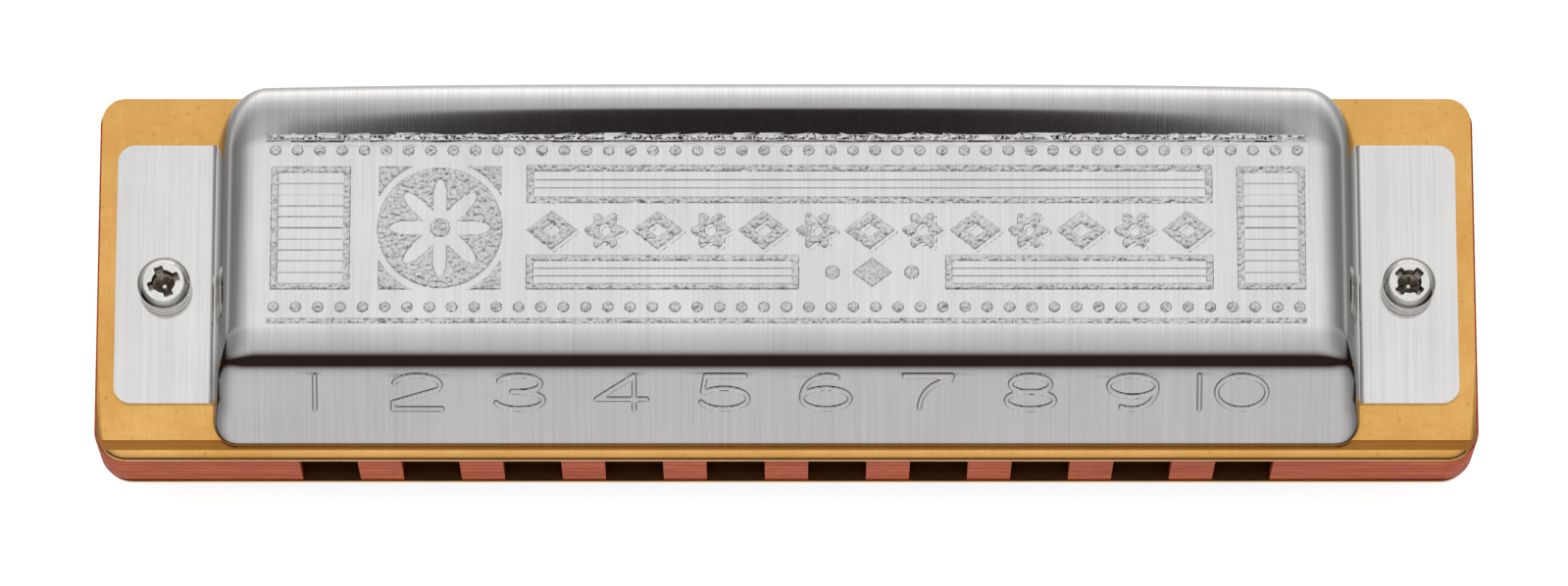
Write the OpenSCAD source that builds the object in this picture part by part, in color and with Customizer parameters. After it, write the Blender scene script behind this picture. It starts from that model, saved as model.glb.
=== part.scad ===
// Ten-hole diatonic harmonica, in the pieces that it comes apart into on a bench.
// Frame: +X runs along the holes from low to high, +Y from the mouth edge to the back, +Z up.
// Origin: under the middle of the whole instrument, on the surface that it lies on.
// A depth named from the mouth is measured from the mouth edge of the reed plates towards the back.

/* [Holes and chambers] */
// Distance from one mouth hole to the next
hole_pitch = 7.5; // [7:0.1:9]
// Width of each mouth hole and of the chamber behind it
hole_w = 4.3; // [4:0.1:4.8]
// Wood left behind the longest chamber, up to the plates' back edge
back_wall = 4.15; // [3.5:0.05:6]
// How much shorter the chamber of hole ten is than that of hole one
chamber_step = 5.6; // [3:0.1:7]

/* [Comb] */
// Thickness of the comb between the two reed plates
comb_t = 6.2; // [5:0.1:9]
// How far the comb stands out past each end of the plates
comb_end_reveal = 0.2; // [0:0.05:0.5]
// How far the comb lies back from the plates' mouth and back edges
comb_edge_reveal = 0.1; // [0:0.05:0.3]

/* [Reed plates] */
// Depth of each reed plate from its mouth edge to its back edge
plate_d = 27.5; // [22.5:0.1:34]
// Thickness of each reed plate
plate_t = 0.9; // [0.7:0.05:1.5]
// Radius of the two plate corners at the mouth
front_corner_r = 2.2; // [1.5:0.1:5]
// Radius of the two plate corners at the back
back_corner_r = 1.7; // [1:0.1:5]
// Depth of the groove that the cover's front edge stands in
groove_depth = 0.25; // [0.1:0.05:0.4]

/* [Covers] */
// Height of each cover's flat top above its reed plate
cover_h = 5.8; // [4.8:0.1:8]
// Thickness of the sheet that the covers are pressed from
sheet_t = 0.4; // [0.3:0.05:0.5]
// Distance from the centre of an end hole to the cover's end wall
cover_margin = 8.45; // [7.5:0.05:12]
// Length of each flat ear outside the cover's end wall
ear_l = 7.35; // [7:0.05:10]
// Gap from the ear's end to the end of the reed plate
ear_inset = 1.25; // [0.5:0.05:3]
// Depth from the mouth to the cover's front edge
lip_from_mouth = 0.95; // [0.9:0.05:1.4]
// Depth from the mouth at which the sloping front strip turns up into the step
step_from_mouth = 5.35; // [5.2:0.05:6.5]
// Height of the sloping front strip there
strip_h = 3.05; // [2.8:0.05:3.4]
// Steepest slope of the step, from the plane of the plates
step_tilt = 66; // [50:1:75]
// Radius over which the step rounds over into the flat top
shoulder_r = 2.5; // [1.5:0.1:3]
// Depth that the flat top takes to round down to the back rim
back_slope_d = 5.5; // [4:0.1:6]
// Height of the back rim's rolled hem above the plate, at the hem's centre
hem_h = 3.3; // [2.6:0.1:4]
// Outside radius of the rolled hem
hem_r = 0.6; // [0.5:0.05:0.9]
// How far the back rim stands out past the plates' back edge
back_overhang = 0.15; // [0.05:0.05:0.5]

/* [Reeds] */
// Width of each reed tongue
reed_w = 2.1; // [1.6:0.1:2.4]
// Thickness of each reed at its root and tip
reed_t = 0.25; // [0.15:0.01:0.35]
// Gap between a tongue and each side of its slot
slot_gap = 0.07; // [0.05:0.01:0.15]
// Length of the riveted pad at each reed's root
pad_l = 3.2; // [2.6:0.1:3.6]
// Radius of each rivet's shank
rivet_r = 0.55; // [0.4:0.05:0.7]

/* [Screws] */
// Radius of the two long screws that hold the covers
cover_screw_r = 1; // [0.8:0.05:1.25]
// Depth from the mouth to the two cover screws
screw_from_mouth = 12.85; // [8:0.05:16]
// Radius of the small screws that hold the reed plates to the comb
plate_screw_r = 0.7; // [0.5:0.05:0.8]

/* [Hidden] */
$fn = 48;
hole_count = 10;
over = 1;            // how far a cutting shape runs past what it cuts

// Lengths along X
cover_half = (hole_count - 1) / 2 * hole_pitch + cover_margin;
ear_end_x = cover_half + ear_l;
plate_half = ear_end_x + ear_inset;
comb_half = plate_half + comb_end_reveal;
screw_x = cover_half + ear_l / 2;

// Depths along Y: the mouth edge is at mouth_y, and the back rim as far behind the origin
mouth_y = -(plate_d + back_overhang) / 2;
cover_back = plate_d + back_overhang;

// Heights along Z
lower_plate_z = cover_h;
comb_z = lower_plate_z + plate_t;
upper_plate_z = comb_z + comb_t;
upper_top_z = upper_plate_z + plate_t;

// Chambers and reeds, hole one first
function hole_x(i) = (i - (hole_count - 1) / 2) * hole_pitch;
function chamber_d(i) = plate_d - back_wall - chamber_step * i / (hole_count - 1);
pad_margin = 0.4;                       // from a blow pad to the chamber's back wall
tip_margin = 0.6;                       // from a draw tongue's tip to the chamber's back wall
draw_pad_from_mouth = lip_from_mouth + 3.4;
draw_root = draw_pad_from_mouth + pad_l;
function reed_l(i) = chamber_d(i) - tip_margin - draw_root;
function blow_root(i) = chamber_d(i) - pad_margin - pad_l;
root_gap = 0.02;                        // between a tongue and its pad
waist_share = 0.7;                      // a tongue's thickness at mid length, as a share of reed_t
pad_w = reed_w + 0.4;
rivet_head_r = rivet_r + 0.25;
rivet_head_h = 0.25;
rivet_gap = 0.01;

// Fasteners
bolt_gap = 0.15;                        // round a cover screw in the plates, comb and ears
thread_gap = 0.01;                      // round a screw in the nut or wood that it threads into
screw_head_r = cover_screw_r + 0.95;
screw_head_h = 2;
nut_flats = 4 * cover_screw_r;
nut_h = 1.6;
bolt_tail = 0.4;                        // screw that shows past the nut
plate_screw_l = comb_t / 2 - 0.4 + plate_t;
plate_head_r = 2 * plate_screw_r;
plate_head_h = 0.6;
plate_hole_gap = 0.1;
back_screw_x = 4.5 * hole_pitch;
back_screw_v = plate_d - back_wall / 2;
front_screw_x = 2 * hole_pitch;
front_screw_v = 3;

// Cover's pressed shape. o is 0 on the outer face and sheet_t on the inner face.
lip_drop = groove_depth - 0.05;
groove_front = lip_from_mouth - 0.3;
groove_back = lip_from_mouth + sheet_t + 0.05;
front_edge_h = 0.6;                     // strip's height at the lip
edge_r = 0.25;                          // bend from the lip into the strip
fillet_r = 2.2;                         // inside bend at the step's foot
strip_inset = 2.2;                      // end rounding beside the strip
end_inset = 3.9;                        // end rounding beside the flat top
corner_r = 1.8;                         // cover's front corners, seen from above
foot_share = 0.18;                      // end wall's straight foot, as a share of the height there
least_foot = 0.3;                       // least height of that foot where the wall is low
fold_clear = 0.1;                       // least height of that foot above an ear
end_power = 2.4;                        // 2 rounds the end walls as an ellipse, more is squarer
back_power = 2;
crown = 0.3;                            // how much the back rim curves back in at its two ends
ear_front = lip_from_mouth + 3.15;      // depth from the mouth to the ear's front edge
ear_back = plate_d - 3.7;               // and to its back edge
ear_corner_r = 1.3;
plateau_back = cover_back - back_slope_d;
strip_slope = atan((strip_h - front_edge_h) / (step_from_mouth - lip_from_mouth));
function strip_at(v) = front_edge_h + (v - lip_from_mouth) * tan(strip_slope);
// The step is an inside bend, a straight wall and the shoulder, which share out its height between them
bend_rise = fillet_r * (cos(strip_slope) - cos(step_tilt));
bend_reach = fillet_r * (sin(step_tilt) - sin(strip_slope));
step_rise = cover_h - strip_h - bend_rise;
round_r = min(shoulder_r, step_rise / (1 - cos(step_tilt)));
wall_rise = step_rise - round_r * (1 - cos(step_tilt));
plateau_front = step_from_mouth + bend_reach + wall_rise / tan(step_tilt) + round_r * sin(step_tilt);
edge_stops = [0.06, 0.14, 0.25, 0.4];   // rows on the strip between the lip's bend and the ear
ear_stops = [-0.1, 0];                  // rows just before and at the ear's front edge
fillet_steps = 4;
shoulder_steps = 6;
wall_rings = 7;
hem_rings = 4;
rings = wall_rings + hem_rings;
middle_columns = 10;

function mix(a, b, t) = a + (b - a) * t;
function ease(t) = let (c = min(max(t, 0), 1)) c * c * (3 - 2 * c);
function strip_point(v, o) = [v, strip_at(v) - o / cos(strip_slope)];
function bend(o) = max(edge_r - o, 0.05);

// Section through the middle of the cover, from the lip to the back of the flat top: [depth, height]
function section(o) = concat(
    [[lip_from_mouth + o, -lip_drop],
     [lip_from_mouth + o, strip_point(lip_from_mouth + o, o)[1] - bend(o)],
     strip_point(lip_from_mouth + o + bend(o), o)],
    [for (s = edge_stops) strip_point(mix(lip_from_mouth + o + bend(o), ear_front, s), o)],
    [for (s = ear_stops) strip_point(ear_front + s, o)],
    [for (k = [0:fillet_steps]) let (a = mix(strip_slope, step_tilt, k / fillet_steps))
        [step_from_mouth - fillet_r * sin(strip_slope) + (fillet_r + o) * sin(a),
         strip_h + fillet_r * cos(strip_slope) - (fillet_r + o) * cos(a)]],
    [for (k = [0:shoulder_steps]) let (a = mix(step_tilt, 0, k / shoulder_steps))
        [plateau_front - (round_r - o) * sin(a), cover_h - round_r + (round_r - o) * cos(a)]],
    [[plateau_back, cover_h - o]]);
outer_section = section(0);
rows = len(outer_section);
last_row = rows + rings - 1;
last_column = middle_columns + 2 * rings;
first_ear_row = 3 + len(edge_stops) + len(ear_stops) - 1;
last_ear_row = rows + 1;                // two rings into the back corner
ear_rows = last_ear_row - first_ear_row + 1;
ear_columns = 5;

// Half length of the straight middle of a row, and of the whole row
function straight_half(i) =
    cover_half - mix(strip_inset, end_inset, ease((outer_section[i][1] - strip_h) / (cover_h - strip_h)));
function end_half(v, o) = let (in = corner_r - (v - lip_from_mouth))
    in > 0 ? cover_half - corner_r + sqrt(max((corner_r - o) ^ 2 - in ^ 2, 0)) : cover_half - o;

// One point of the skirt round the flat top: ring 1 is next to the top, the last is the rim.
// turn is 0 at the end walls and 90 along the back; start and reach lead outwards in plan,
// and base is the height at which an end wall's foot stops.
function skirt(ring, turn, start, reach, top, base, o) =
    let (
        back = ease(turn / 90),
        power = 2 / mix(end_power, back_power, back),
        side_foot = max(foot_share * top, min(0.6 * top, least_foot), base > 0 ? base + fold_clear : 0),
        foot = top > 0 ? mix(side_foot, hem_h, back) : top,
        phi = 90 * min(ring / wall_rings, 1),
        tail = max(ring - wall_rings, 0) / hem_rings,
        roll = 180 * back * tail,
        out = [reach[0] * cos(turn), reach[1] * sin(turn)] * (top > 0 ? sin(phi) ^ power : ring / rings),
        curl = (hem_r - o) * (1 - cos(roll)),
        drop = top > 0 ? (side_foot - base) * (1 - back) * tail : 0
    )
    [start[0] + out[0] - curl * cos(turn), start[1] + out[1] - curl * sin(turn),
     foot + (top - foot) * cos(phi) ^ power - drop - (hem_r - o) * sin(roll)];

// Point of the sheet at row i, a share across of the half length, and ring_j rings past the end
function sheet_point(i, across, ring_j, o, profile) =
    let (
        ring_i = max(i - rows + 1, 0),
        row = profile[min(i, rows - 1)],
        half = straight_half(min(i, rows - 1)),
        back_reach = cover_back - crown * across ^ 3 - o - plateau_back,
        ring = max(ring_i, ring_j),
        turn = ring_i == 0 ? 0 : ring_j == 0 ? 90
            : ring_j >= ring_i ? 45 * ring_i / ring_j : 90 - 45 * ring_j / ring_i,
        on_ear = i >= first_ear_row && i <= last_ear_row && ring_j > ring_i,
        base = on_ear ? sheet_t - o : 0
    )
    ring == 0 ? [half * across, row[0], row[1]]
        : skirt(ring, turn, [half * across, row[0]], [end_half(row[0], o) - half, back_reach], row[1], base, o);

function sheet_grid(o) = let (profile = section(o))
    [for (i = [0:last_row]) for (j = [0:last_column])
        let (
            ring_j = max(rings - j, j - rings - middle_columns, 0),
            across = min(max((j - rings) / middle_columns, 0), 1) * 2 - 1,
            p = sheet_point(i, abs(across), ring_j, o, profile)
        )
        [(across < 0 ? -1 : 1) * p[0], mouth_y + p[1], p[2]]];

// Flat ear outside an end wall: side is -1 or 1, and its rows carry on those of the end wall
ear_xs = concat([cover_half + 0.6],
    [for (k = [0:ear_columns - 2]) ear_end_x - ear_corner_r * (1 - sin(90 * k / (ear_columns - 2)))]);
function ear_bite(x) = ear_corner_r - sqrt(ear_corner_r ^ 2 - max(x - ear_end_x + ear_corner_r, 0) ^ 2);
function fold_depth(k) = sheet_point(first_ear_row + k, 1, rings, 0, outer_section)[1];
function ear_grid(side, o) =
    [for (k = [0:ear_rows - 1]) for (x = ear_xs)
        let (share = (fold_depth(k) - fold_depth(0)) / (fold_depth(ear_rows - 1) - fold_depth(0)))
        [side * x, mouth_y + mix(ear_front + ear_bite(x), ear_back - ear_bite(x), share), sheet_t - o]];

// The sheet's points are numbered outer face first, and each inner point comes sheet_points later
wide = last_column + 1;
grid_points = (last_row + 1) * wide;
sheet_points = grid_points + 2 * ear_rows * ear_columns;
function at(i, j) = i * wide + j;
function ear_at(side, k, c) = c == 0 ? at(first_ear_row + k, side > 0 ? last_column : 0)
    : grid_points + (side > 0 ? ear_rows * ear_columns : 0) + k * ear_columns + c - 1;
function quad(a, b, c, d, turned = false) =
    turned ? [[a, b, d], [b, c, d]] : [[a, b, c], [a, c, d]];
function joined(lists) = [for (list = lists) for (item = list) item];
function ear_path(side) = concat(
    [for (c = [1:ear_columns]) ear_at(side, 0, c)],
    [for (k = [1:ear_rows - 1]) ear_at(side, k, ear_columns)],
    [for (c = [ear_columns - 1:-1:0]) ear_at(side, ear_rows - 1, c)]);
function side_path(side) = let (j = side > 0 ? last_column : 0) concat(
    [for (i = [0:first_ear_row]) at(i, j)],
    ear_path(side),
    [for (i = [last_ear_row + 1:last_row]) at(i, j)]);
function backwards(list) = [for (k = [len(list) - 1:-1:0]) list[k]];

// One pressed cover standing on a plate whose top face is at height 0
module pressed_cover() {
    grid_faces = joined([for (i = [0:last_row - 1]) for (j = [0:last_column - 1])
        quad(at(i, j), at(i + 1, j), at(i + 1, j + 1), at(i, j + 1), 2 * j < last_column)]);
    right_ear = joined([for (k = [0:ear_rows - 2]) for (c = [0:ear_columns - 1])
        quad(ear_at(1, k, c), ear_at(1, k + 1, c), ear_at(1, k + 1, c + 1), ear_at(1, k, c + 1))]);
    left_ear = joined([for (k = [0:ear_rows - 2]) for (c = [0:ear_columns - 1])
        quad(ear_at(-1, k, c + 1), ear_at(-1, k + 1, c + 1), ear_at(-1, k + 1, c), ear_at(-1, k, c))]);
    outer = concat(grid_faces, left_ear, right_ear);
    inner = [for (f = outer) [f[2] + sheet_points, f[1] + sheet_points, f[0] + sheet_points]];
    edge = concat([for (j = [1:last_column - 1]) at(0, j)], side_path(1),
        [for (j = [last_column - 1:-1:1]) at(last_row, j)], backwards(side_path(-1)));
    rim = joined([for (k = [0:len(edge) - 1]) let (a = edge[k], b = edge[(k + 1) % len(edge)])
        quad(a, b, b + sheet_points, a + sheet_points)]);
    difference() {
        polyhedron(concat(sheet_grid(0), ear_grid(-1, 0), ear_grid(1, 0),
            sheet_grid(sheet_t), ear_grid(-1, sheet_t), ear_grid(1, sheet_t)),
            concat(outer, inner, rim));
        at_cover_screws() translate([0, 0, -over]) cylinder(h = sheet_t + 2 * over, r = cover_screw_r + bolt_gap);
    }
}

// Outline shared by the comb and the plates, pulled in by a reveal at the edges
module body_outline(half, edge) {
    front = mouth_y + edge;
    back = mouth_y + plate_d - edge;
    for (side = [-1, 1]) {
        translate([side * (half - front_corner_r), front + front_corner_r]) circle(front_corner_r);
        translate([side * (half - back_corner_r), back - back_corner_r]) circle(back_corner_r);
    }
    translate([-half, front + front_corner_r]) square([2 * half, back - front - front_corner_r - back_corner_r]);
    translate([-half + front_corner_r, front]) square([2 * (half - front_corner_r), front_corner_r + over]);
    translate([-half + back_corner_r, back - back_corner_r - over])
        square([2 * (half - back_corner_r), back_corner_r + over]);
}

module at_cover_screws() {
    for (side = [-1, 1]) translate([side * screw_x, mouth_y + screw_from_mouth, 0]) children();
}

module at_plate_screws() {
    for (side = [-1, 1]) translate([side * front_screw_x, mouth_y + front_screw_v, 0]) children();
    for (side = [-1:1]) translate([side * back_screw_x, mouth_y + back_screw_v, 0]) children();
}

module comb() {
    front = mouth_y + comb_edge_reveal;
    color("#a05a3c") translate([0, 0, comb_z]) difference() {
        linear_extrude(comb_t) body_outline(comb_half, comb_edge_reveal);
        for (i = [0:hole_count - 1])
            translate([hole_x(i) - hole_w / 2, front - over, -over])
                cube([hole_w, chamber_d(i) - comb_edge_reveal + over, comb_t + 2 * over]);
        at_cover_screws() translate([0, 0, -over]) cylinder(h = comb_t + 2 * over, r = cover_screw_r + bolt_gap);
        at_plate_screws() for (up = [0, 1]) mirror([0, 0, up]) translate([0, 0, -up * comb_t])
            translate([0, 0, -over])
                cylinder(h = plate_screw_l - plate_t + 0.1 + over, r = plate_screw_r + thread_gap);
    }
}

// Reed plate lying with its outer face up and that face at height plate_t.
// roots is the depth of each reed's root, and way is -1 where the tongues point to the mouth.
module reed_plate(roots, way) {
    color("#d9a650") difference() {
        linear_extrude(plate_t) body_outline(plate_half, 0);
        translate([-plate_half - over, mouth_y + groove_front, plate_t - groove_depth])
            cube([2 * (plate_half + over), groove_back - groove_front, groove_depth + over]);
        for (i = [0:hole_count - 1]) {
            slot_l = reed_l(i) + 3 * slot_gap;
            translate([hole_x(i) - reed_w / 2 - slot_gap,
                    mouth_y + roots[i] - slot_gap - (way < 0 ? slot_l - 2 * slot_gap : 0), -over])
                cube([reed_w + 2 * slot_gap, slot_l, plate_t + 2 * over]);
            translate([hole_x(i), mouth_y + roots[i] - way * pad_l / 2, -over])
                cylinder(h = plate_t + 2 * over, r = rivet_r + rivet_gap);
        }
        at_cover_screws() translate([0, 0, -over]) cylinder(h = plate_t + 2 * over, r = cover_screw_r + bolt_gap);
        at_plate_screws() plate_screw_space();
    }
}

module plate_screw_space() {
    translate([0, 0, -over]) cylinder(h = plate_t + 2 * over, r = plate_screw_r + plate_hole_gap);
    translate([0, 0, plate_t - plate_head_h])
        cylinder(h = plate_head_h, r1 = plate_screw_r + plate_hole_gap, r2 = plate_head_r + plate_hole_gap);
}

blow_roots = [for (i = [0:hole_count - 1]) blow_root(i)];
draw_roots = [for (i = [0:hole_count - 1]) draw_root];

module upper_reed_plate() {
    translate([0, 0, upper_plate_z]) reed_plate(blow_roots, -1);
}

module lower_reed_plate() {
    translate([0, 0, comb_z]) mirror([0, 0, 1]) reed_plate(draw_roots, 1);
}

module upper_cover() {
    color("#c9cacb") translate([0, 0, upper_top_z]) pressed_cover();
}

module lower_cover() {
    color("#c9cacb") translate([0, 0, lower_plate_z]) rotate([0, 180, 0]) pressed_cover();
}

// Tongue under a plate whose lower face is at height 0, root at depth root, pointing along way
module tongue(i, root, way) {
    waist = reed_t * waist_share;
    length = reed_l(i) - root_gap;
    profile = [[0, 0], [length, 0], [length, -reed_t], [0.85 * length, -reed_t],
        [0.6 * length, -waist], [0.3 * length, -waist], [0.1 * length, -reed_t], [0, -reed_t]];
    color("#dcae5c") translate([hole_x(i) - reed_w / 2, mouth_y + root + way * root_gap, 0])
        rotate([90, 0, 90]) linear_extrude(reed_w) polygon([for (p = profile) [way * p[0], p[1]]]);
}

module blow_reed(i) {
    translate([0, 0, upper_plate_z]) tongue(i, blow_root(i), -1);
}

module draw_reed(i) {
    translate([0, 0, lower_plate_z]) tongue(i, draw_root, 1);
}

// Riveted pads under a plate whose lower face is at height 0
module reed_pads(roots, way) {
    color("#d4a24e") for (i = [0:hole_count - 1])
        translate([hole_x(i), mouth_y + roots[i] - way * pad_l / 2, -reed_t]) difference() {
            translate([-pad_w / 2, -pad_l / 2, 0]) cube([pad_w, pad_l, reed_t]);
            translate([0, 0, -over]) cylinder(h = reed_t + 2 * over, r = rivet_r + rivet_gap);
        }
}

module blow_reed_pads() {
    translate([0, 0, upper_plate_z]) reed_pads(blow_roots, -1);
}

module draw_reed_pads() {
    translate([0, 0, lower_plate_z]) reed_pads(draw_roots, 1);
}

// Rivets through plate and pad, with a flat head under the pad and one on the plate's far face
module reed_rivets(roots, way) {
    color("#e3bd72") for (i = [0:hole_count - 1])
        translate([hole_x(i), mouth_y + roots[i] - way * pad_l / 2, 0]) {
            translate([0, 0, -reed_t - rivet_head_h]) cylinder(h = rivet_head_h, r = rivet_head_r);
            translate([0, 0, -reed_t]) cylinder(h = reed_t + plate_t, r = rivet_r);
        }
}

module blow_reed_rivets() {
    translate([0, 0, upper_plate_z]) reed_rivets(blow_roots, -1);
}

module draw_reed_rivets() {
    translate([0, 0, lower_plate_z]) reed_rivets(draw_roots, 1);
}

// Head with a collar, a rounded rim and a cross recess, standing on the upper cover's ears
module cover_screws() {
    shank_l = 2 * (plate_t + sheet_t) + comb_t + nut_h + bolt_tail;
    recess_w = 0.8;
    recess_l = 2.2;
    recess_h = 1.1;
    color("#d5d6d7") at_cover_screws() translate([0, 0, upper_top_z + sheet_t]) difference() {
        rotate_extrude() polygon([[0, -shank_l], [cover_screw_r, -shank_l], [cover_screw_r, 0],
            [screw_head_r, 0], [screw_head_r, 0.5], [screw_head_r - 0.12, 0.6],
            [screw_head_r - 0.12, screw_head_h - 0.35], [screw_head_r - 0.45, screw_head_h],
            [0, screw_head_h]]);
        for (turn = [0, 90]) rotate(turn + 22) translate([-recess_l / 2, -recess_w / 2, screw_head_h - recess_h])
            cube([recess_l, recess_w, recess_h + over]);
    }
}

module cover_nuts() {
    color("#d5d6d7") at_cover_screws() translate([0, 0, lower_plate_z - sheet_t - nut_h]) difference() {
        cylinder(h = nut_h, r = nut_flats / sqrt(3), $fn = 6);
        translate([0, 0, -over]) cylinder(h = nut_h + 2 * over, r = cover_screw_r + thread_gap);
    }
}

// Countersunk screws whose heads lie flush with a plate's outer face, which is at height plate_t
module plate_screws() {
    tip_h = 0.6;
    color("#b9babb") at_plate_screws() difference() {
        rotate_extrude() polygon([[0, plate_t - plate_screw_l], [plate_screw_r * 0.3, plate_t - plate_screw_l],
            [plate_screw_r, plate_t - plate_screw_l + tip_h], [plate_screw_r, plate_t - plate_head_h],
            [plate_head_r, plate_t], [0, plate_t]]);
        translate([-plate_head_r, -0.15, plate_t - 0.3]) cube([2 * plate_head_r, 0.3, 0.3 + over]);
    }
}

module upper_plate_screws() {
    translate([0, 0, upper_plate_z]) plate_screws();
}

module lower_plate_screws() {
    translate([0, 0, comb_z]) mirror([0, 0, 1]) plate_screws();
}

comb();
upper_reed_plate();
lower_reed_plate();
upper_cover();
lower_cover();
blow_reed(0);  // blow_reed_01
blow_reed(1);  // blow_reed_02
blow_reed(2);  // blow_reed_03
blow_reed(3);  // blow_reed_04
blow_reed(4);  // blow_reed_05
blow_reed(5);  // blow_reed_06
blow_reed(6);  // blow_reed_07
blow_reed(7);  // blow_reed_08
blow_reed(8);  // blow_reed_09
blow_reed(9);  // blow_reed_10
draw_reed(0);  // draw_reed_01
draw_reed(1);  // draw_reed_02
draw_reed(2);  // draw_reed_03
draw_reed(3);  // draw_reed_04
draw_reed(4);  // draw_reed_05
draw_reed(5);  // draw_reed_06
draw_reed(6);  // draw_reed_07
draw_reed(7);  // draw_reed_08
draw_reed(8);  // draw_reed_09
draw_reed(9);  // draw_reed_10
blow_reed_pads();
draw_reed_pads();
blow_reed_rivets();
draw_reed_rivets();
cover_screws();
cover_nuts();
upper_plate_screws();
lower_plate_screws();
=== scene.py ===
# %% [markdown]
# # A ten-hole harmonica
# The instrument is a sandwich: a wooden comb with ten chambers, a brass reed plate on each side of it,
# ten brass reeds riveted to each plate, and a pressed steel cover over each plate. Two long screws hold
# the covers, and small countersunk screws hold the plates. The CAD frame gives every place and size.
# Each piece is modelled again here with rounded edges, relief and a finish of its own.

# %% Load the frame
import math
import bmesh
import bpy
import numpy as np
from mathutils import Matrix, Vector


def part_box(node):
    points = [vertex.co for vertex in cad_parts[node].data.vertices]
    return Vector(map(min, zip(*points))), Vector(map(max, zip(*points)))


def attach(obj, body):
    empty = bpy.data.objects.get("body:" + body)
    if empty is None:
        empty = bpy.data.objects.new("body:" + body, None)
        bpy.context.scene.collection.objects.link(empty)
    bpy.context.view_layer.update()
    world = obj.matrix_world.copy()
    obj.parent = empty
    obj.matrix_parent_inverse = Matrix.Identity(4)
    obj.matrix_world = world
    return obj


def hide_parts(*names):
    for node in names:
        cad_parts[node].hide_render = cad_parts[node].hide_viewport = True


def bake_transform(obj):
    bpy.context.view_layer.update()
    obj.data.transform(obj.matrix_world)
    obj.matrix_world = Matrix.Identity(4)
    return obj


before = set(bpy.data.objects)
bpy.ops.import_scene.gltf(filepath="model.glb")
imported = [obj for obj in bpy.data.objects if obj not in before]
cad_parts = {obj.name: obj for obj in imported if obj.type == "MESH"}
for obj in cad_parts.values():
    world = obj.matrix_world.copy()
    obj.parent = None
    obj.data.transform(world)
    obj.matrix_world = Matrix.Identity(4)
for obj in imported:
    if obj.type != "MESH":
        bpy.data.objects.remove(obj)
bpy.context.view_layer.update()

# %% [markdown]
# Lengths below are in millimetres, because everything on a harmonica is a few millimetres across, and
# Blender works in metres, so each helper multiplies by `MM`. The driving sizes are read from the frame.
# Depths named v are measured from the mouth edge of the plates towards the back.

# %% Sizes from the frame
MM = 0.001


def box(node):
    low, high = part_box(node)
    return low / MM, high / MM


plate_low, plate_high = box("upper_reed_plate")
under_low, under_high = box("lower_reed_plate")
comb_low, comb_high = box("comb")
cover_low, cover_high = box("upper_cover")
mouth_y = plate_low.y
plate_d = plate_high.y - plate_low.y
plate_half = plate_high.x
plate_t = under_high.z - under_low.z
upper_top_z = plate_high.z
upper_plate_z = comb_high.z
comb_z = comb_low.z
lower_plate_z = under_low.z
comb_t = comb_high.z - comb_low.z
cover_h = cover_high.z - upper_top_z
print("plates:", round(2 * plate_half, 2), "x", round(plate_d, 2), "x", round(plate_t, 2))
print("comb:", round(comb_t, 2), "thick, cover:", round(cover_h, 2), "high")

# %% [markdown]
# The camera stands in front of the mouth and looks down steeply, through a long lens, so the two ends
# of the instrument are hardly smaller than its middle.

# %% Camera
CAMERA_LENS = 194.16
CAMERA_ELEVATION = math.radians(75.43)
CAMERA_DISTANCE = 624.8
CAMERA_TARGET = (-0.18, -1.235, upper_top_z)


def add_camera():
    data = bpy.data.cameras.new("camera")
    data.lens = CAMERA_LENS
    data.sensor_width = 36
    data.sensor_fit = "HORIZONTAL"
    camera = bpy.data.objects.new("camera", data)
    bpy.context.scene.collection.objects.link(camera)
    x, y, z = CAMERA_TARGET
    camera.location = (x * MM, (y - CAMERA_DISTANCE * math.cos(CAMERA_ELEVATION)) * MM,
                       (z + CAMERA_DISTANCE * math.sin(CAMERA_ELEVATION)) * MM)
    camera.rotation_euler = (math.pi / 2 - CAMERA_ELEVATION, 0, 0)
    bpy.context.scene.camera = camera
    return camera


camera = add_camera()
print("camera at", [round(c, 3) for c in camera.location])

# %% [markdown]
# Polished steel shows its surroundings more than itself, so the light is a white tent, drawn in the world
# as a studio would build it. What a face mirrors depends on its tilt from front to back, so the tent's
# brightness follows that angle: brightest a little behind the camera, dimmer over the mouth, dark along
# the front, where the tent is open, and white again low behind. A narrow dark panel behind gives the back
# shoulder its dark lens. Where the tent is dark it is a little warm, like a room behind it. The floor
# lights the wood but isn't mirrored, and one soft lamp overhead adds a gentle contact shadow.

# %% Light tent and floor
TENT_STOPS = [
    # angle from straight up, towards the back where positive, and brightness
    (-180, 0.75), (-156, 0.70), (-130, 0.025), (-99, 0.014), (-92, 0.12), (-80, 0.47), (-66, 0.64),
    (-42, 0.72), (-22, 0.80), (-4, 0.88), (8, 1.00), (15, 1.06), (20, 0.88), (27, 0.62), (52, 0.56),
    (66, 0.78), (82, 1.22), (94, 1.45), (112, 0.90), (130, 0.60), (180, 0.60)]
# half the dark panel's width, as the sideways part of a direction, and the angles of its two edges
PANEL_HALF_X = 0.0595
PANEL_LOW, PANEL_HIGH = 23.6, 50.7
PANEL_GLOW = 0.02
SIDE_DIMNESS = 0.6
DARK_TINT = (1.5, 1.05, 1.0, 1)
LAMP_RADIANCE = 1.6
FLOOR_Z = -0.02


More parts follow.
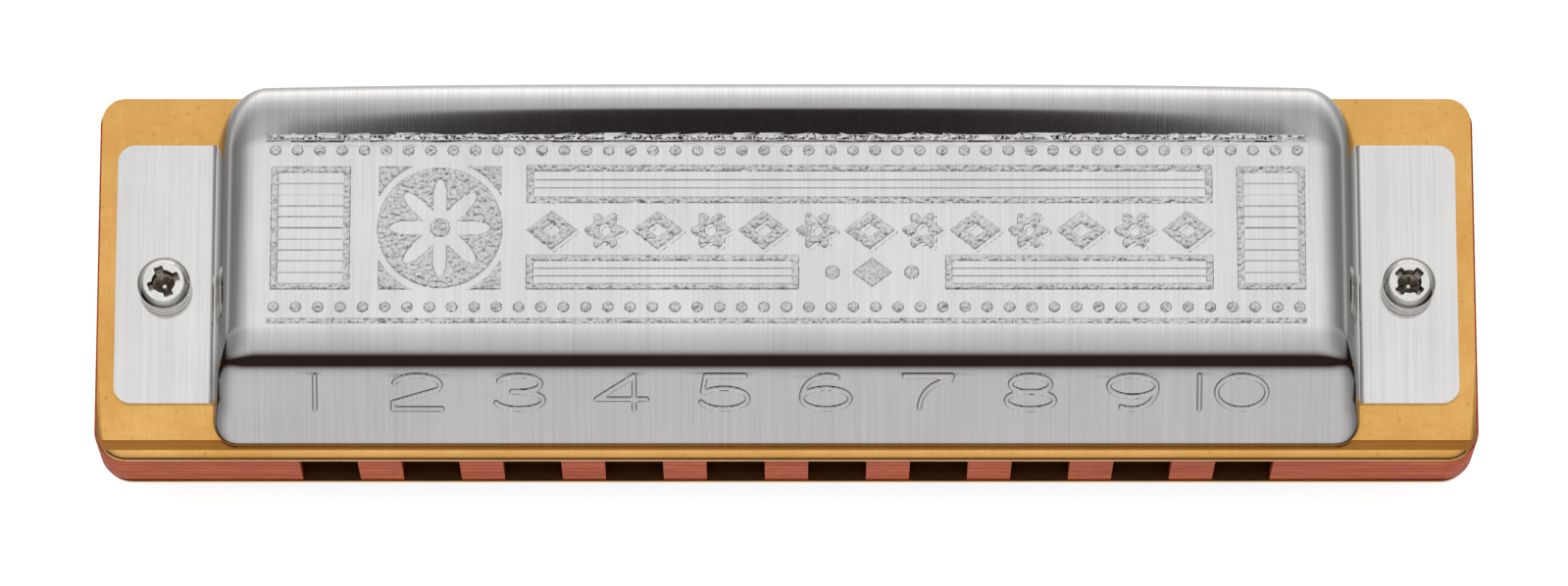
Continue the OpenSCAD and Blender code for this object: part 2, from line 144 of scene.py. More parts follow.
def light_tent():
    world = bpy.data.worlds.new("light_tent")
    bpy.context.scene.world = world
    world.use_nodes = True
    tree = world.node_tree
    nodes, link = tree.nodes, tree.links.new

    def maths(operation, a, b=0.0):
        node = nodes.new("ShaderNodeMath")
        node.operation = operation
        for value, socket in ((a, node.inputs[0]), (b, node.inputs[1])):
            if isinstance(value, bpy.types.NodeSocket):
                link(value, socket)
            else:
                socket.default_value = value
        return node.outputs[0]

    way = nodes.new("ShaderNodeSeparateXYZ")
    link(nodes.new("ShaderNodeTexCoord").outputs["Generated"], way.inputs[0])
    angle = maths("ARCTAN2", way.outputs["Y"], way.outputs["Z"])
    share = maths("ADD", maths("DIVIDE", angle, 2 * math.pi), 0.5)
    ramp = nodes.new("ShaderNodeValToRGB")
    stops = ramp.color_ramp.elements
    while len(stops) < len(TENT_STOPS):
        stops.new(0.5)
    for stop, (degrees, bright) in zip(stops, TENT_STOPS):
        stop.position = degrees / 360 + 0.5
        stop.color = (bright / 2, bright / 2, bright / 2, 1)
    link(share, ramp.inputs[0])

    def fade(value, start, end, low, high):
        node = nodes.new("ShaderNodeMapRange")
        node.interpolation_type = "SMOOTHSTEP"
        for key, number in (("From Min", start), ("From Max", end), ("To Min", low), ("To Max", high)):
            node.inputs[key].default_value = number
        link(value, node.inputs["Value"])
        return node.outputs[0]

    # the dark panel has a straight lower edge and a high arched one
    sideways = maths("ABSOLUTE", way.outputs["X"])
    up = maths("DIVIDE", maths("SUBTRACT", angle, math.radians(PANEL_LOW)),
               math.radians(PANEL_HIGH - PANEL_LOW))
    up = maths("MAXIMUM", up, maths("MULTIPLY", up, -7))
    arch = maths("ADD", maths("POWER", up, 2), maths("POWER", maths("DIVIDE", sideways, PANEL_HALF_X), 4))
    panel = fade(arch, 0.88, 1.12, PANEL_GLOW, 1)
    sides = fade(sideways, 0.2, 0.95, 2, 2 * (1 - SIDE_DIMNESS))
    background = nodes["Background"]
    warm = nodes.new("ShaderNodeMix")
    warm.data_type = "RGBA"
    warm.inputs[6].default_value = DARK_TINT
    warm.inputs[7].default_value = (1, 1, 1, 1)
    link(fade(maths("MULTIPLY", ramp.outputs[0], panel), 0.0, 0.2, 0, 1), warm.inputs[0])
    tinted = nodes.new("ShaderNodeVectorMath")
    tinted.operation = "MULTIPLY"
    link(ramp.outputs[0], tinted.inputs[0])
    link(warm.outputs[2], tinted.inputs[1])
    link(tinted.outputs[0], background.inputs["Color"])
    link(maths("MULTIPLY", panel, sides), background.inputs["Strength"])


def softbox(name, centre, size, radiance):
    """Rectangular lamp in metres that faces straight down."""
    data = bpy.data.lights.new(name, "AREA")
    data.shape = "RECTANGLE"
    data.size, data.size_y = size
    data.energy = radiance * math.pi * size[0] * size[1]
    lamp = bpy.data.objects.new(name, data)
    bpy.context.scene.collection.objects.link(lamp)
    lamp.location = centre
    lamp.visible_camera = False
    lamp.visible_glossy = False
    return lamp


light_tent()
softbox("overhead", (-0.15, 0.1, 0.9), (0.7, 0.7), LAMP_RADIANCE)
bpy.context.scene.view_settings.view_transform = "Standard"

# just under the lower cover, so that the two don't share a plane
bpy.ops.mesh.primitive_plane_add(size=6, location=(0, 0, FLOOR_Z * MM))
floor = bpy.context.object
floor.name = "floor"
floor.visible_glossy = False
paper = bpy.data.materials.new("floor_paper")
paper.use_nodes = True
paper_shader = paper.node_tree.nodes["Principled BSDF"]
paper_shader.inputs["Base Color"].default_value = (0.5, 0.5, 0.5, 1)
paper_shader.inputs["Roughness"].default_value = 0.9
paper_shader.inputs["Specular IOR Level"].default_value = 0.1
paper_shader.inputs["Emission Color"].default_value = (1, 1, 1, 1)
paper_shader.inputs["Emission Strength"].default_value = 0.76
floor.data.materials.append(paper)

# %% [markdown]
# Modelling helpers. Every operator works on what is selected, so `alone` makes one object the only one
# selected, `editing` opens it in edit mode, and `choose` selects faces, edges or corners by a test.

# %% Modelling helpers


def alone(*objects):
    if bpy.context.object and bpy.context.object.mode != "OBJECT":
        bpy.ops.object.mode_set(mode="OBJECT")
    bpy.ops.object.select_all(action="DESELECT")
    for ob in objects:
        ob.select_set(True)
    bpy.context.view_layer.objects.active = objects[0]
    return objects[0]


def editing(ob, kind="FACE"):
    alone(ob)
    bpy.ops.object.mode_set(mode="EDIT")
    bpy.ops.mesh.select_mode(type=kind)


def done(ob):
    bpy.ops.object.mode_set(mode="OBJECT")
    return ob


def choose(ob, kind, test):
    """Selects what passes the test, of kind verts, edges or faces, in edit mode."""
    bpy.ops.mesh.select_all(action="DESELECT")
    mesh = bmesh.from_edit_mesh(ob.data)
    for item in getattr(mesh, kind):
        if test(item):
            item.select_set(True)
    mesh.select_flush_mode()
    bmesh.update_edit_mesh(ob.data)


def settled(ob, name):
    """Names a new object and moves its place, turn and scale into its mesh."""
    ob.name = ob.data.name = name
    alone(ob)
    bpy.ops.object.transform_apply(location=True, rotation=True, scale=True)
    return ob


def joined(name, objects):
    alone(*objects)
    if len(objects) > 1:
        bpy.ops.object.join()
    ob = bpy.context.object
    ob.name = ob.data.name = name
    return ob


def modified(ob, kind, **settings):
    """Adds one modifier, sets it and applies it."""
    alone(ob)
    modifier = ob.modifiers.new(kind.lower(), kind)
    for key, value in settings.items():
        setattr(modifier, key, value)
    bpy.ops.object.modifier_apply(modifier=modifier.name)
    return ob


def cut(ob, cutter, operation="DIFFERENCE"):
    """Takes the cutter's shape out of an object and throws the cutter away."""
    modified(ob, "BOOLEAN", operation=operation, object=cutter, solver="MANIFOLD")
    bpy.data.objects.remove(cutter)
    return ob


SQUARE_ON = [(1, 0, 0), (-1, 0, 0), (0, 1, 0), (0, -1, 0), (0, 0, 1), (0, 0, -1)]


def softened(ob, width, segments=2, angle=40):
    """Rounds the edges sharper than an angle. Curved faces are shaded smoothly, square ones flat."""
    modified(ob, "BEVEL", width=width * MM, segments=segments, limit_method="ANGLE",
             angle_limit=math.radians(angle), use_clamp_overlap=True, miter_outer="MITER_ARC")
    smoothed(ob)
    return flat_shaded(ob, *[Vector(way) for way in SQUARE_ON])


def smoothed(ob, angle=30):
    alone(ob)
    bpy.ops.object.shade_smooth_by_angle(angle=math.radians(angle))
    return ob


def flat_shaded(ob, *normals):
    """Shades flat every face that looks exactly one of these ways, so that a cut can't tint it."""
    for face in ob.data.polygons:
        if any(face.normal.dot(normal) > 0.999999 for normal in normals):
            face.use_smooth = False
    return ob


def block(name, low, high):
    """Box from its lowest to its highest corner."""
    centre = [(a + b) / 2 * MM for a, b in zip(low, high)]
    bpy.ops.mesh.primitive_cube_add(size=1, location=centre)
    ob = bpy.context.object
    ob.scale = [(b - a) * MM for a, b in zip(low, high)]
    return settled(ob, name)


def blocks(name, corners):
    return joined(name, [block(name, low, high) for low, high in corners])


def drums(name, places, radius, low, high, corners=40):
    """Upright cylinders of one radius, from height low to height high."""
    made = []
    for x, y in places:
        bpy.ops.mesh.primitive_cylinder_add(vertices=corners, radius=radius * MM, depth=(high - low) * MM,
                                            location=(x * MM, y * MM, (low + high) / 2 * MM))
        made.append(settled(bpy.context.object, name))
    return joined(name, made)


def turned(name, profile, corners=40):
    """Lathe work: a disc at the first radius and height is extruded ring by ring up the profile."""
    radius, height = profile[0]
    bpy.ops.mesh.primitive_circle_add(vertices=corners, radius=radius * MM, fill_type="NGON",
                                      location=(0, 0, height * MM))
    ob = settled(bpy.context.object, name)
    editing(ob)
    bpy.ops.mesh.select_all(action="SELECT")
    for (r0, z0), (r1, z1) in zip(profile, profile[1:]):
        bpy.ops.mesh.extrude_region_move(TRANSFORM_OT_translate={"value": (0, 0, (z1 - z0) * MM)})
        bpy.ops.transform.resize(value=(r1 / r0, r1 / r0, 1), center_override=(0, 0, 0))
    bpy.ops.mesh.select_all(action="SELECT")
    bpy.ops.mesh.normals_make_consistent(inside=False)
    return done(ob)


def placed_copies(name, ob, places):
    """A copy of a finished piece at each place, all in one mesh; the first piece is used up."""
    made = []
    for x, y, z in places:
        copy = ob.copy()
        copy.data = ob.data.copy()
        bpy.context.scene.collection.objects.link(copy)
        copy.location = (x * MM, y * MM, z * MM)
        made.append(settled(copy, name))
    bpy.data.objects.remove(ob)
    return joined(name, made)


def triangles(ob):
    return sum(len(p.vertices) - 2 for p in ob.data.polygons)


print("helpers ready")

# %% [markdown]
# Finishes are built from nodes. A `Wire` is one node's output, and adding or multiplying wires adds the
# Math nodes, so a pattern reads like the sum that it is. Everything is drawn on Object coordinates,
# which are metres on the real piece, so a scale of 9000 makes a grain about a ninth of a millimetre wide.

# %% Shader helpers


class Wire:
    def __init__(self, finish, socket):
        self.finish = finish
        self.socket = socket

    def sum(self, operation, a, b):
        return self.finish.node("Math", {"operation": operation}, {0: a, 1: b})

    def __add__(self, other):
        return self.sum("ADD", self, other)

    def __sub__(self, other):
        return self.sum("SUBTRACT", self, other)

    def __mul__(self, other):
        return self.sum("MULTIPLY", self, other)

    def __rsub__(self, other):
        return self.sum("SUBTRACT", other, self)

    def __abs__(self):
        return self.sum("ABSOLUTE", self, 0.0)

    __radd__ = __add__
    __rmul__ = __mul__


class Finish:
    def __init__(self, name):
        self.material = bpy.data.materials.new(name)
        self.material.use_nodes = True
        self.tree = self.material.node_tree
        self.shader = self.tree.nodes["Principled BSDF"]
        self.place = self.node("TexCoord", {}, {}, "Object")

    def node(self, kind, settings, sockets, output=0):
        made = self.tree.nodes.new("ShaderNode" + kind)
        for key, value in settings.items():
            setattr(made, key, value)
        for key, value in sockets.items():
            self.join(value, made.inputs[key])
        return Wire(self, made.outputs[output])

    def join(self, value, socket):
        if isinstance(value, Wire):
            self.tree.links.new(value.socket, socket)
        else:
            socket.default_value = value

    def noise(self, scales, detail=2, seed=0.0, twist=0.0):
        """Noise whose grain is 1 / scale metres across along each axis."""
        spot = self.node("Mapping", {}, {"Vector": self.place, "Scale": scales, "Location": (seed,) * 3})
        return self.node("TexNoise", {}, {"Vector": spot, "Scale": 1.0, "Detail": detail,
                                          "Distortion": twist})

    def along(self, axis):
        """Place along an axis, in millimetres."""
        return self.node("SeparateXYZ", {}, {"Vector": self.place}, axis) * (1 / MM)

    def steps(self, wire, low, high):
        """0 below low, 1 above high and smooth between."""
        return self.node("MapRange", {"interpolation_type": "SMOOTHSTEP"},
                         {"Value": wire, "From Min": low, "From Max": high})

    def mix(self, share, first, second):
        return self.node("Mix", {"data_type": "RGBA"}, {0: share, 6: first, 7: second}, 2)

    def bump(self, height, distance):
        return self.node("Bump", {}, {"Height": height, "Distance": distance})

    def set(self, **sockets):
        for key, value in sockets.items():
            self.join(value, self.shader.inputs[key.replace("_", " ")])
        return self.material


def shade(r, g, b):
    return (r, g, b, 1)


def clothe(ob, material, body, slot, *nodes):
    """Gives a piece its finish, ties it to the body, and hides the CAD nodes that it stands for; slot is not
    used.
    """
    ob.data.materials.clear()
    ob.data.materials.append(material)
    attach(ob, body)
    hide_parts(*nodes)
    print(ob.name, "has", triangles(ob), "triangles")


# %% [markdown]
# Sheet steel for the covers is brushed in one direction before it is pressed, so its grain is thousands
# of fine parallel lines from mouth to back, which follow every slope. Two noises that change quickly along
# X and slowly along the other axes, one fine and one coarser, move the colour, the roughness and the bump
# together, and a broad cloud leaves the faint smudges of handling. The screws, the reeds and the rivets
# use the same recipe with other scales. Where the punch has cut below the flat top, the cover turns matte,
# and a mask made from the height paints shade into its colour there, grey in speckles.

# %% Metal finishes


def brushed(name, light, dark, roughness, grain, depth=1e-6):
    """Metal with a grain of three scales, along X, Y and Z, mixed between a light and a dark tone."""
    metal = Finish(name)
    hair = metal.noise(grain, 2)
    band = metal.noise([scale / 3.3 for scale in grain], 2, 3.7)
    smudge = metal.noise((130, 130, 130), 3, 9.1, 0.6)
    lines = hair * 0.6 + band * 0.4
    tone = metal.steps(lines * 0.7 + smudge * 0.3, 0.36, 0.66)
    rough = roughness * (1 + (lines - 0.5) * 0.8 + (smudge - 0.5) * 0.4)
    metal.set(Base_Color=metal.mix(tone, light, dark), Roughness=rough, Metallic=1.0,
              Normal=metal.bump(lines, depth))
    return metal, light, dark, tone


def finished(recipe):
    return recipe[0].material


FRIEZE_MIDDLE_Y, FRIEZE_HALF_Y, FRIEZE_HALF_X = 1.8, 6.7, 38.3


def punched_steel():
    """Brushed steel that turns matte where the punch has cut below the flat top, with painted shade in
    speckles there.
    """
    metal, light, dark, tone = brushed("cover_steel", shade(0.72, 0.71, 0.702),
                                       shade(0.625, 0.617, 0.61), 0.08, (11000, 110, 110), 5e-7)
    sunk = comb_t / 2 + plate_t + cover_h - abs(metal.along("Z") - (comb_z + comb_t / 2))
    in_frieze = 1 - metal.steps(abs(metal.along("Y") - FRIEZE_MIDDLE_Y), FRIEZE_HALF_Y, FRIEZE_HALF_Y + 0.2)
    in_frieze = in_frieze * (1 - metal.steps(abs(metal.along("X")), FRIEZE_HALF_X, FRIEZE_HALF_X + 0.2))
    # the punched pits: matte, and painted shade darkens their colour to grey in speckles
    pit_matte_and_shade = metal.steps(sunk, 0.008, 0.03) * in_frieze
    speck = metal.steps(metal.noise((4300, 4300, 4300), 2, 6.1), 0.47, 0.6)
    colour = metal.mix(pit_matte_and_shade * (0.08 + speck * 0.5), metal.mix(tone, light, dark), shade(0.33, 0.32, 0.31))
    return metal.set(Base_Color=colour, Roughness=0.08 + (tone - 0.5) * 0.015 + pit_matte_and_shade * 0.13)


cover_steel = punched_steel()
zinc = finished(brushed("zinc", shade(0.52, 0.53, 0.54), shade(0.38, 0.39, 0.40), 0.34, (700, 6000, 6000)))
reed_brass = finished(brushed("reed_brass", shade(0.86, 0.62, 0.24), shade(0.70, 0.44, 0.13), 0.27,
                              (260, 8000, 8000), 2.5e-6))
rivet_brass = finished(brushed("rivet_brass", shade(0.88, 0.66, 0.30), shade(0.74, 0.48, 0.17), 0.22,
                               (1200, 5000, 5000)))
print("metals:", cover_steel.name, zinc.name, reed_brass.name, rivet_brass.name)

# %% [markdown]
# The reed plates are rolled brass left bare. The sheet is scrubbed both ways, so two fine hatches cross,
# and handling leaves soft blotches, a little redder. Painted shade darkens the groove under the cover's
# lip to brown and the inner face that looks into the chambers to near black, and painted light makes the
# sawn mouth edge a stronger orange. Masks made from the place along Y and Z put each of these where it
# belongs.

# %% Plate brass
groove_span = (0.55, 1.5)


def rolled_brass():
    metal = Finish("plate_brass")
    hatch = metal.noise((4800, 520, 4800), 2) * 0.5 + metal.noise((520, 4800, 4800), 2, 8.8) * 0.5
    blotches = metal.noise((130, 130, 130), 3, 2.3)
    specks = metal.noise((1900, 1900, 1900), 2, 5.9)
    tone = metal.steps(blotches * 0.6 + hatch * 0.25 + specks * 0.15, 0.36, 0.66)
    colour = metal.mix(tone, shade(0.90, 0.515, 0.165), shade(0.815, 0.42, 0.108))
    colour = metal.mix(metal.steps(specks, 0.66, 0.74) * 0.35, colour, shade(0.45, 0.22, 0.06))
    v = metal.along("Y") - mouth_y
    out = abs(metal.along("Z") - (comb_z + comb_t / 2)) - comb_t / 2
    below_face = 1 - metal.steps(out, plate_t - 0.16, plate_t - 0.06)
    # painted shade: dark brown in the groove under the cover's lip
    painted_groove_shade = below_face * metal.steps(v, groove_span[0], 0.75) * (1 - metal.steps(v, 1.3, groove_span[1]))
    # painted light: the sawn mouth edge is painted a stronger orange
    painted_mouth_edge_light = below_face * (1 - metal.steps(v, 0.03, 0.12))
    # painted shade: the inner face that looks into the chambers is painted near black
    inside = 1 - metal.steps(out, 0.02, 0.1)
    colour = metal.mix(painted_mouth_edge_light * 0.9, colour, shade(0.95, 0.42, 0.075))
    colour = metal.mix(painted_groove_shade * 0.85, colour, shade(0.30, 0.11, 0.02))
    colour = metal.mix(inside * 0.93, colour, shade(0.07, 0.022, 0.008))
    rough = 0.3 + (hatch - 0.5) * 0.18 + (blotches - 0.5) * 0.14 + inside * 0.3
    return metal.set(Base_Color=colour, Roughness=rough, Metallic=1.0,
                     Normal=metal.bump(hatch * 0.7 + specks * 0.3, 1.4e-6))


plate_brass = rolled_brass()
print("plate finish:", plate_brass.name)

# %% [markdown]
# The comb is plywood of thin beech-like layers, dyed red-brown through, with darker glue lines between
# the layers. Height alone picks the layer, a stretched noise makes the fibres, and a few dark flecks are
# the pores that the saw opened. Inside the chambers the walls get darker with depth, which is painted
# shade.

# %% Comb wood


def layered_wood():
    wood = Finish("comb_wood")
    fibres = wood.noise((220, 2600, 5200), 4, 1.2, 0.4)
    figure = wood.noise((45, 240, 240), 3, 7.7, 0.8)
    pores = wood.noise((900, 7000, 7000), 1, 4.4)
    wavy = wood.along("Z") * (6 / comb_t) + figure * 0.3
    layer = wood.node("Math", {"operation": "PINGPONG"}, {0: wavy, 1: 0.5})
    glue = 1 - wood.steps(layer, 0.02, 0.13)
    tone = wood.steps(fibres * 0.6 + figure * 0.4, 0.34, 0.68)
    colour = wood.mix(tone, shade(0.64, 0.125, 0.033), shade(0.42, 0.058, 0.015))
    colour = wood.mix(wood.steps(pores, 0.62, 0.72) * 0.6, colour, shade(0.12, 0.016, 0.008))
    colour = wood.mix(glue * 0.7, colour, shade(0.13, 0.02, 0.012))
    v = wood.along("Y") - mouth_y
    among_holes = 1 - wood.steps(abs(wood.along("X")), 37, 37.5)
    # painted shade: the chamber walls are painted darker with depth
    painted_chamber_shade = wood.steps(v, 0.2, 1.1) * among_holes * (1 - wood.steps(v, 26, 27))
    colour = wood.mix(painted_chamber_shade * 0.9, colour, shade(0.035, 0.006, 0.003))
    return wood.set(Base_Color=colour, Roughness=0.5 + (fibres - 0.5) * 0.25, Specular_IOR_Level=0.1,
                    Normal=wood.bump(fibres * 0.7 - glue * 0.4 - pores * 0.3, 1.2e-5))


comb_wood = layered_wood()
print("comb finish:", comb_wood.name)

# %% [markdown]
# ## The pressed cover
# A cover is one sheet of steel: a sloping strip over the mouth, a step up to a flat top, round ends and a
# round back that rolls under into a hem, and two flat ears that the screws go through. It could be carved
# from a box with bevels, but the corners where three curves meet would never match the CAD solid. So the
# sheet starts as a plain grid, each crossing of which is placed by the same rules as in the CAD: rows
# follow the section through the middle, and the outer columns and rows are rings that turn down into the
# end walls and the back.

# %% Cover sizes
# the front lip, the strip over the mouth, and the step
sheet_t = 0.4
lip_from_mouth = cover_low.y - mouth_y
step_from_mouth = 5.35
strip_h = 3.05
step_tilt = math.radians(66)
shoulder_r = 2.5
groove_depth = 0.25
lip_drop = groove_depth - 0.05
front_edge_h = 0.6
edge_r = 0.25
fillet_r = 2.2
# the round back with its hem, and the end walls
back_slope_d = 5.5
hem_h = 3.3
hem_r = 0.6
strip_inset = 2.2
end_inset = 3.9
corner_r = 1.8
foot_share = 0.18
least_foot = 0.3
fold_clear = 0.1
end_power = 2.4
back_power = 2
crown = 0.3
# the ears and the screws through them
ear_l = 7.35
ear_corner_r = 1.3
fold_r = 0.35
ear_end_x = cover_high.x
cover_half = ear_end_x - ear_l
cover_back = cover_high.y - mouth_y
ear_front = lip_from_mouth + 3.15
ear_back = plate_d - 3.7
plateau_back = cover_back - back_slope_d
plateau_half = cover_half - end_inset
strip_slope = math.atan((strip_h - front_edge_h) / (step_from_mouth - lip_from_mouth))
screw_x = cover_half + ear_l / 2
screw_y = mouth_y + 12.85
screw_places = [(-screw_x, screw_y), (screw_x, screw_y)]
BOLT_R = 1.15


def strip_at(v):
    return front_edge_h + (v - lip_from_mouth) * math.tan(strip_slope)


bend_rise = fillet_r * (math.cos(strip_slope) - math.cos(step_tilt))
bend_reach = fillet_r * (math.sin(step_tilt) - math.sin(strip_slope))
wall_rise = cover_h - strip_h - bend_rise - shoulder_r * (1 - math.cos(step_tilt))
plateau_front = (step_from_mouth + bend_reach + wall_rise / math.tan(step_tilt)
                 + shoulder_r * math.sin(step_tilt))
print("flat top:", round(2 * plateau_half, 2), "x", round(plateau_back - plateau_front, 2))

# %% Section through the cover
BEND_STEPS = 4
STRIP_STEPS = 12
FILLET_STEPS = 12
SHOULDER_STEPS = 18
WALL_RINGS = 22
HEM_RINGS = 10
MIDDLE_COLUMNS = 40
RINGS = WALL_RINGS + HEM_RINGS


def arc(v, h, rv, rh, first, last, steps):
    """Points of an ellipse arc about (v, h), from one angle in degrees to another."""
    turns = [math.radians(first + (last - first) * k / steps) for k in range(steps + 1)]
    return [(v + rv * math.cos(a), h + rh * math.sin(a)) for a in turns]


def cover_section():
    """Points (v, height) from the bottom of the front lip to the back of the flat top."""
    slope = math.degrees(strip_slope)
    bend_v = lip_from_mouth + edge_r
    bend_h = strip_at(bend_v) - edge_r / math.cos(strip_slope)
    bend = arc(bend_v, bend_h, edge_r, edge_r, 180, 90 + slope, BEND_STEPS)
    start = bend[-1][0]
    # rows crowd towards the lip, where the front corners turn
    spread = [1 - math.cos(math.pi / 2 * k / STRIP_STEPS) for k in range(1, STRIP_STEPS)]
    strip = [start + (ear_front - 0.1 - start) * s for s in spread] + [ear_front - 0.1, ear_front]
    tilt = math.degrees(step_tilt)
    fillet = arc(step_from_mouth - fillet_r * math.sin(strip_slope),
                 strip_h + fillet_r * math.cos(strip_slope), fillet_r, fillet_r,
                 slope - 90, tilt - 90, FILLET_STEPS)
    shoulder = arc(plateau_front, cover_h - shoulder_r, shoulder_r, shoulder_r,
                   90 + tilt, 90, SHOULDER_STEPS)
    rows = ([(lip_from_mouth, -lip_drop)] + bend + [(v, strip_at(v)) for v in strip]
            + fillet + shoulder + [(plateau_back, cover_h)])
    return rows, 1 + len(bend) + len(strip) - 1


section, first_ear_row = cover_section()
rows = len(section)
last_row = rows + RINGS - 1
last_column = MIDDLE_COLUMNS + 2 * RINGS
# an ear runs a little way into the rings of the back corner
last_ear_row = rows - 1 + round(2 / 11 * RINGS)
print("rows:", last_row + 1, "columns:", last_column + 1)

# %% Where each crossing of the sheet lies


def ease(t):
    t = min(max(t, 0), 1)
    return t * t * (3 - 2 * t)


def between(a, b, t):
    return a + (b - a) * t


def straight_half(height):
    return cover_half - between(strip_inset, end_inset, ease((height - strip_h) / (cover_h - strip_h)))


def end_half(v):
    bite = corner_r - (v - lip_from_mouth)
    if bite <= 0:
        return cover_half
    return cover_half - corner_r + math.sqrt(max(corner_r ** 2 - bite ** 2, 0))


def skirt(ring, turn, start, reach, top, base):
    """Point of the skirt round the flat top: turn is 0 at an end wall and 90 along the back."""
    back = ease(turn / 90)
    power = 2 / between(end_power, back_power, back)
    side_foot = max(foot_share * top, min(0.6 * top, least_foot), base + fold_clear if base else 0)
    foot = between(side_foot, hem_h, back) if top > 0 else top
    down = math.radians(90 * min(ring / WALL_RINGS, 1))
    tail = max(ring - WALL_RINGS, 0) / HEM_RINGS
    roll = math.radians(180 * back * tail)
    share = math.sin(down) ** power if top > 0 else ring / RINGS
    curl = hem_r * (1 - math.cos(roll))
    drop = (side_foot - base) * (1 - back) * tail if top > 0 else 0
    way_x, way_v = math.cos(math.radians(turn)), math.sin(math.radians(turn))
    return (start[0] + reach[0] * way_x * share - curl * way_x,
            start[1] + reach[1] * way_v * share - curl * way_v,
            foot + (top - foot) * max(math.cos(down), 0) ** power - drop - hem_r * math.sin(roll))


def sheet_point(i, across, ring_j):
    """Point of row i: a share across of the half length, or ring_j rings past its end."""
    ring_i = max(i - rows + 1, 0)
    v, top = section[min(i, rows - 1)]
    half = straight_half(top)
    ring = max(ring_i, ring_j)
    if ring == 0:
        return half * across, v, top
    if ring_i == 0:
        turn = 0
    elif ring_j == 0:
        turn = 90
    else:
        turn = 45 * ring_i / ring_j if ring_j >= ring_i else 90 - 45 * ring_j / ring_i
    on_ear = first_ear_row <= i <= last_ear_row and ring_j > ring_i
    back_reach = cover_back - crown * across ** 3 - plateau_back
    return skirt(ring, turn, (half * across, v), (end_half(v) - half, back_reach), top,
                 sheet_t + fold_r if on_ear else 0)


def crossing(i, j):
    ring_j = max(RINGS - j, j - RINGS - MIDDLE_COLUMNS, 0)
    across = min(max((j - RINGS) / MIDDLE_COLUMNS, 0), 1) * 2 - 1
    x, v, height = sheet_point(i, abs(across), ring_j)
    return (math.copysign(x, across) * MM, (mouth_y + v) * MM, (upper_top_z + height) * MM)


print("middle of the front lip:", [round(c / MM, 2) for c in crossing(1, last_column // 2)])

# %% [markdown]
# The ears are pulled out of the end walls' feet by extruding their edges again and again, first round the
# fold and then out flat, each new row of corners being set on the ear's outline. Solidify then turns the
# skin into sheet of the real thickness, inwards.

# %% Press the cover
FOLD_STEPS = 4
EAR_STEPS = 8
RIM_BEVEL = 0.09


def ear_bite(x):
    return ear_corner_r - math.sqrt(ear_corner_r ** 2 - max(x - ear_end_x + ear_corner_r, 0) ** 2)


def ear_rows():
    """Distance out, height above the plate and bend share of each extruded row of an ear."""
    fold = [(cover_half + fold_r * (1 - math.cos(a)), sheet_t + fold_r * (1 - math.sin(a)))
            for a in [math.pi / 2 * k / FOLD_STEPS for k in range(1, FOLD_STEPS + 1)]]
    tip = [(ear_end_x - ear_corner_r * (1 - math.sin(math.pi / 2 * k / EAR_STEPS)), sheet_t)
           for k in range(EAR_STEPS + 1)]
    return fold + tip


def pull_ear(ob, side):
    editing(ob, "VERT")
    foot = {tuple(round(c, 7) for c in crossing(i, last_column if side > 0 else 0))
            for i in range(first_ear_row, last_ear_row + 1)}
    choose(ob, "verts", lambda p: tuple(round(c, 7) for c in p.co) in foot)
    shares = None
    for x, height in ear_rows():
        bpy.ops.mesh.extrude_region_move(TRANSFORM_OT_translate={"value": (side * 1e-5, 0, 0)})
        mesh = bmesh.from_edit_mesh(ob.data)
        row = sorted((p for p in mesh.verts if p.select), key=lambda p: p.co.y)
        if shares is None:
            first, last = row[0].co.y, row[-1].co.y
            shares = [(p.co.y - first) / (last - first) for p in row]
        low, high = mouth_y + ear_front + ear_bite(x), mouth_y + ear_back - ear_bite(x)
        for p, share in zip(row, shares):
            p.co = (side * x * MM, between(low, high, share) * MM, (upper_top_z + height) * MM)
        bmesh.update_edit_mesh(ob.data)
    return done(ob)


def press_cover(name):
    bpy.ops.mesh.primitive_grid_add(x_subdivisions=last_column, y_subdivisions=last_row, size=1)
    ob = bpy.context.object
    ob.name = ob.data.name = name
    for point in ob.data.vertices:
        i, j = round((point.co.y + 0.5) * last_row), round((point.co.x + 0.5) * last_column)
        point.co = crossing(i, j)
    for side in (-1, 1):
        pull_ear(ob, side)
    modified(ob, "SOLIDIFY", thickness=sheet_t * MM, offset=-1, use_even_offset=True)
    modified(ob, "BEVEL", width=RIM_BEVEL * MM, segments=2, limit_method="ANGLE",
             angle_limit=math.radians(70))
    cut(ob, drums("bore", screw_places, BOLT_R, upper_top_z - 2, upper_top_z + 2))
    return ob


cover = press_cover("upper_cover_shell")
print("pressed sheet:", triangles(cover), "triangles")

# %% [markdown]
# ## Engraving
# The numbers and the ornament are stamped into the steel. Strokes swept along curves would give hundreds
# of cutters, so one height field does the work of all of them: a fine grid floats just above the metal,
# and dips below it wherever a drawing rule says that the metal is cut away. Closed into a block, it is
# one boolean cutter. The rules are distances: a line is cut where the distance to it is less than half
# its width.

# %% Engraving cutter
CLEAR = 0.05
GROOVE_SLOPE = 1.05
PUNCH_SLOPE = 1.4


def surface_height(v):
    """Height of the cover's middle above its plate, from the lip to the back rim."""
    back = arc(plateau_back, hem_h, back_slope_d, cover_h - hem_h, 90, 0, 4 * WALL_RINGS)
    line = section + back[1:]
    return np.interp(v, [p[0] for p in line], [p[1] for p in line])


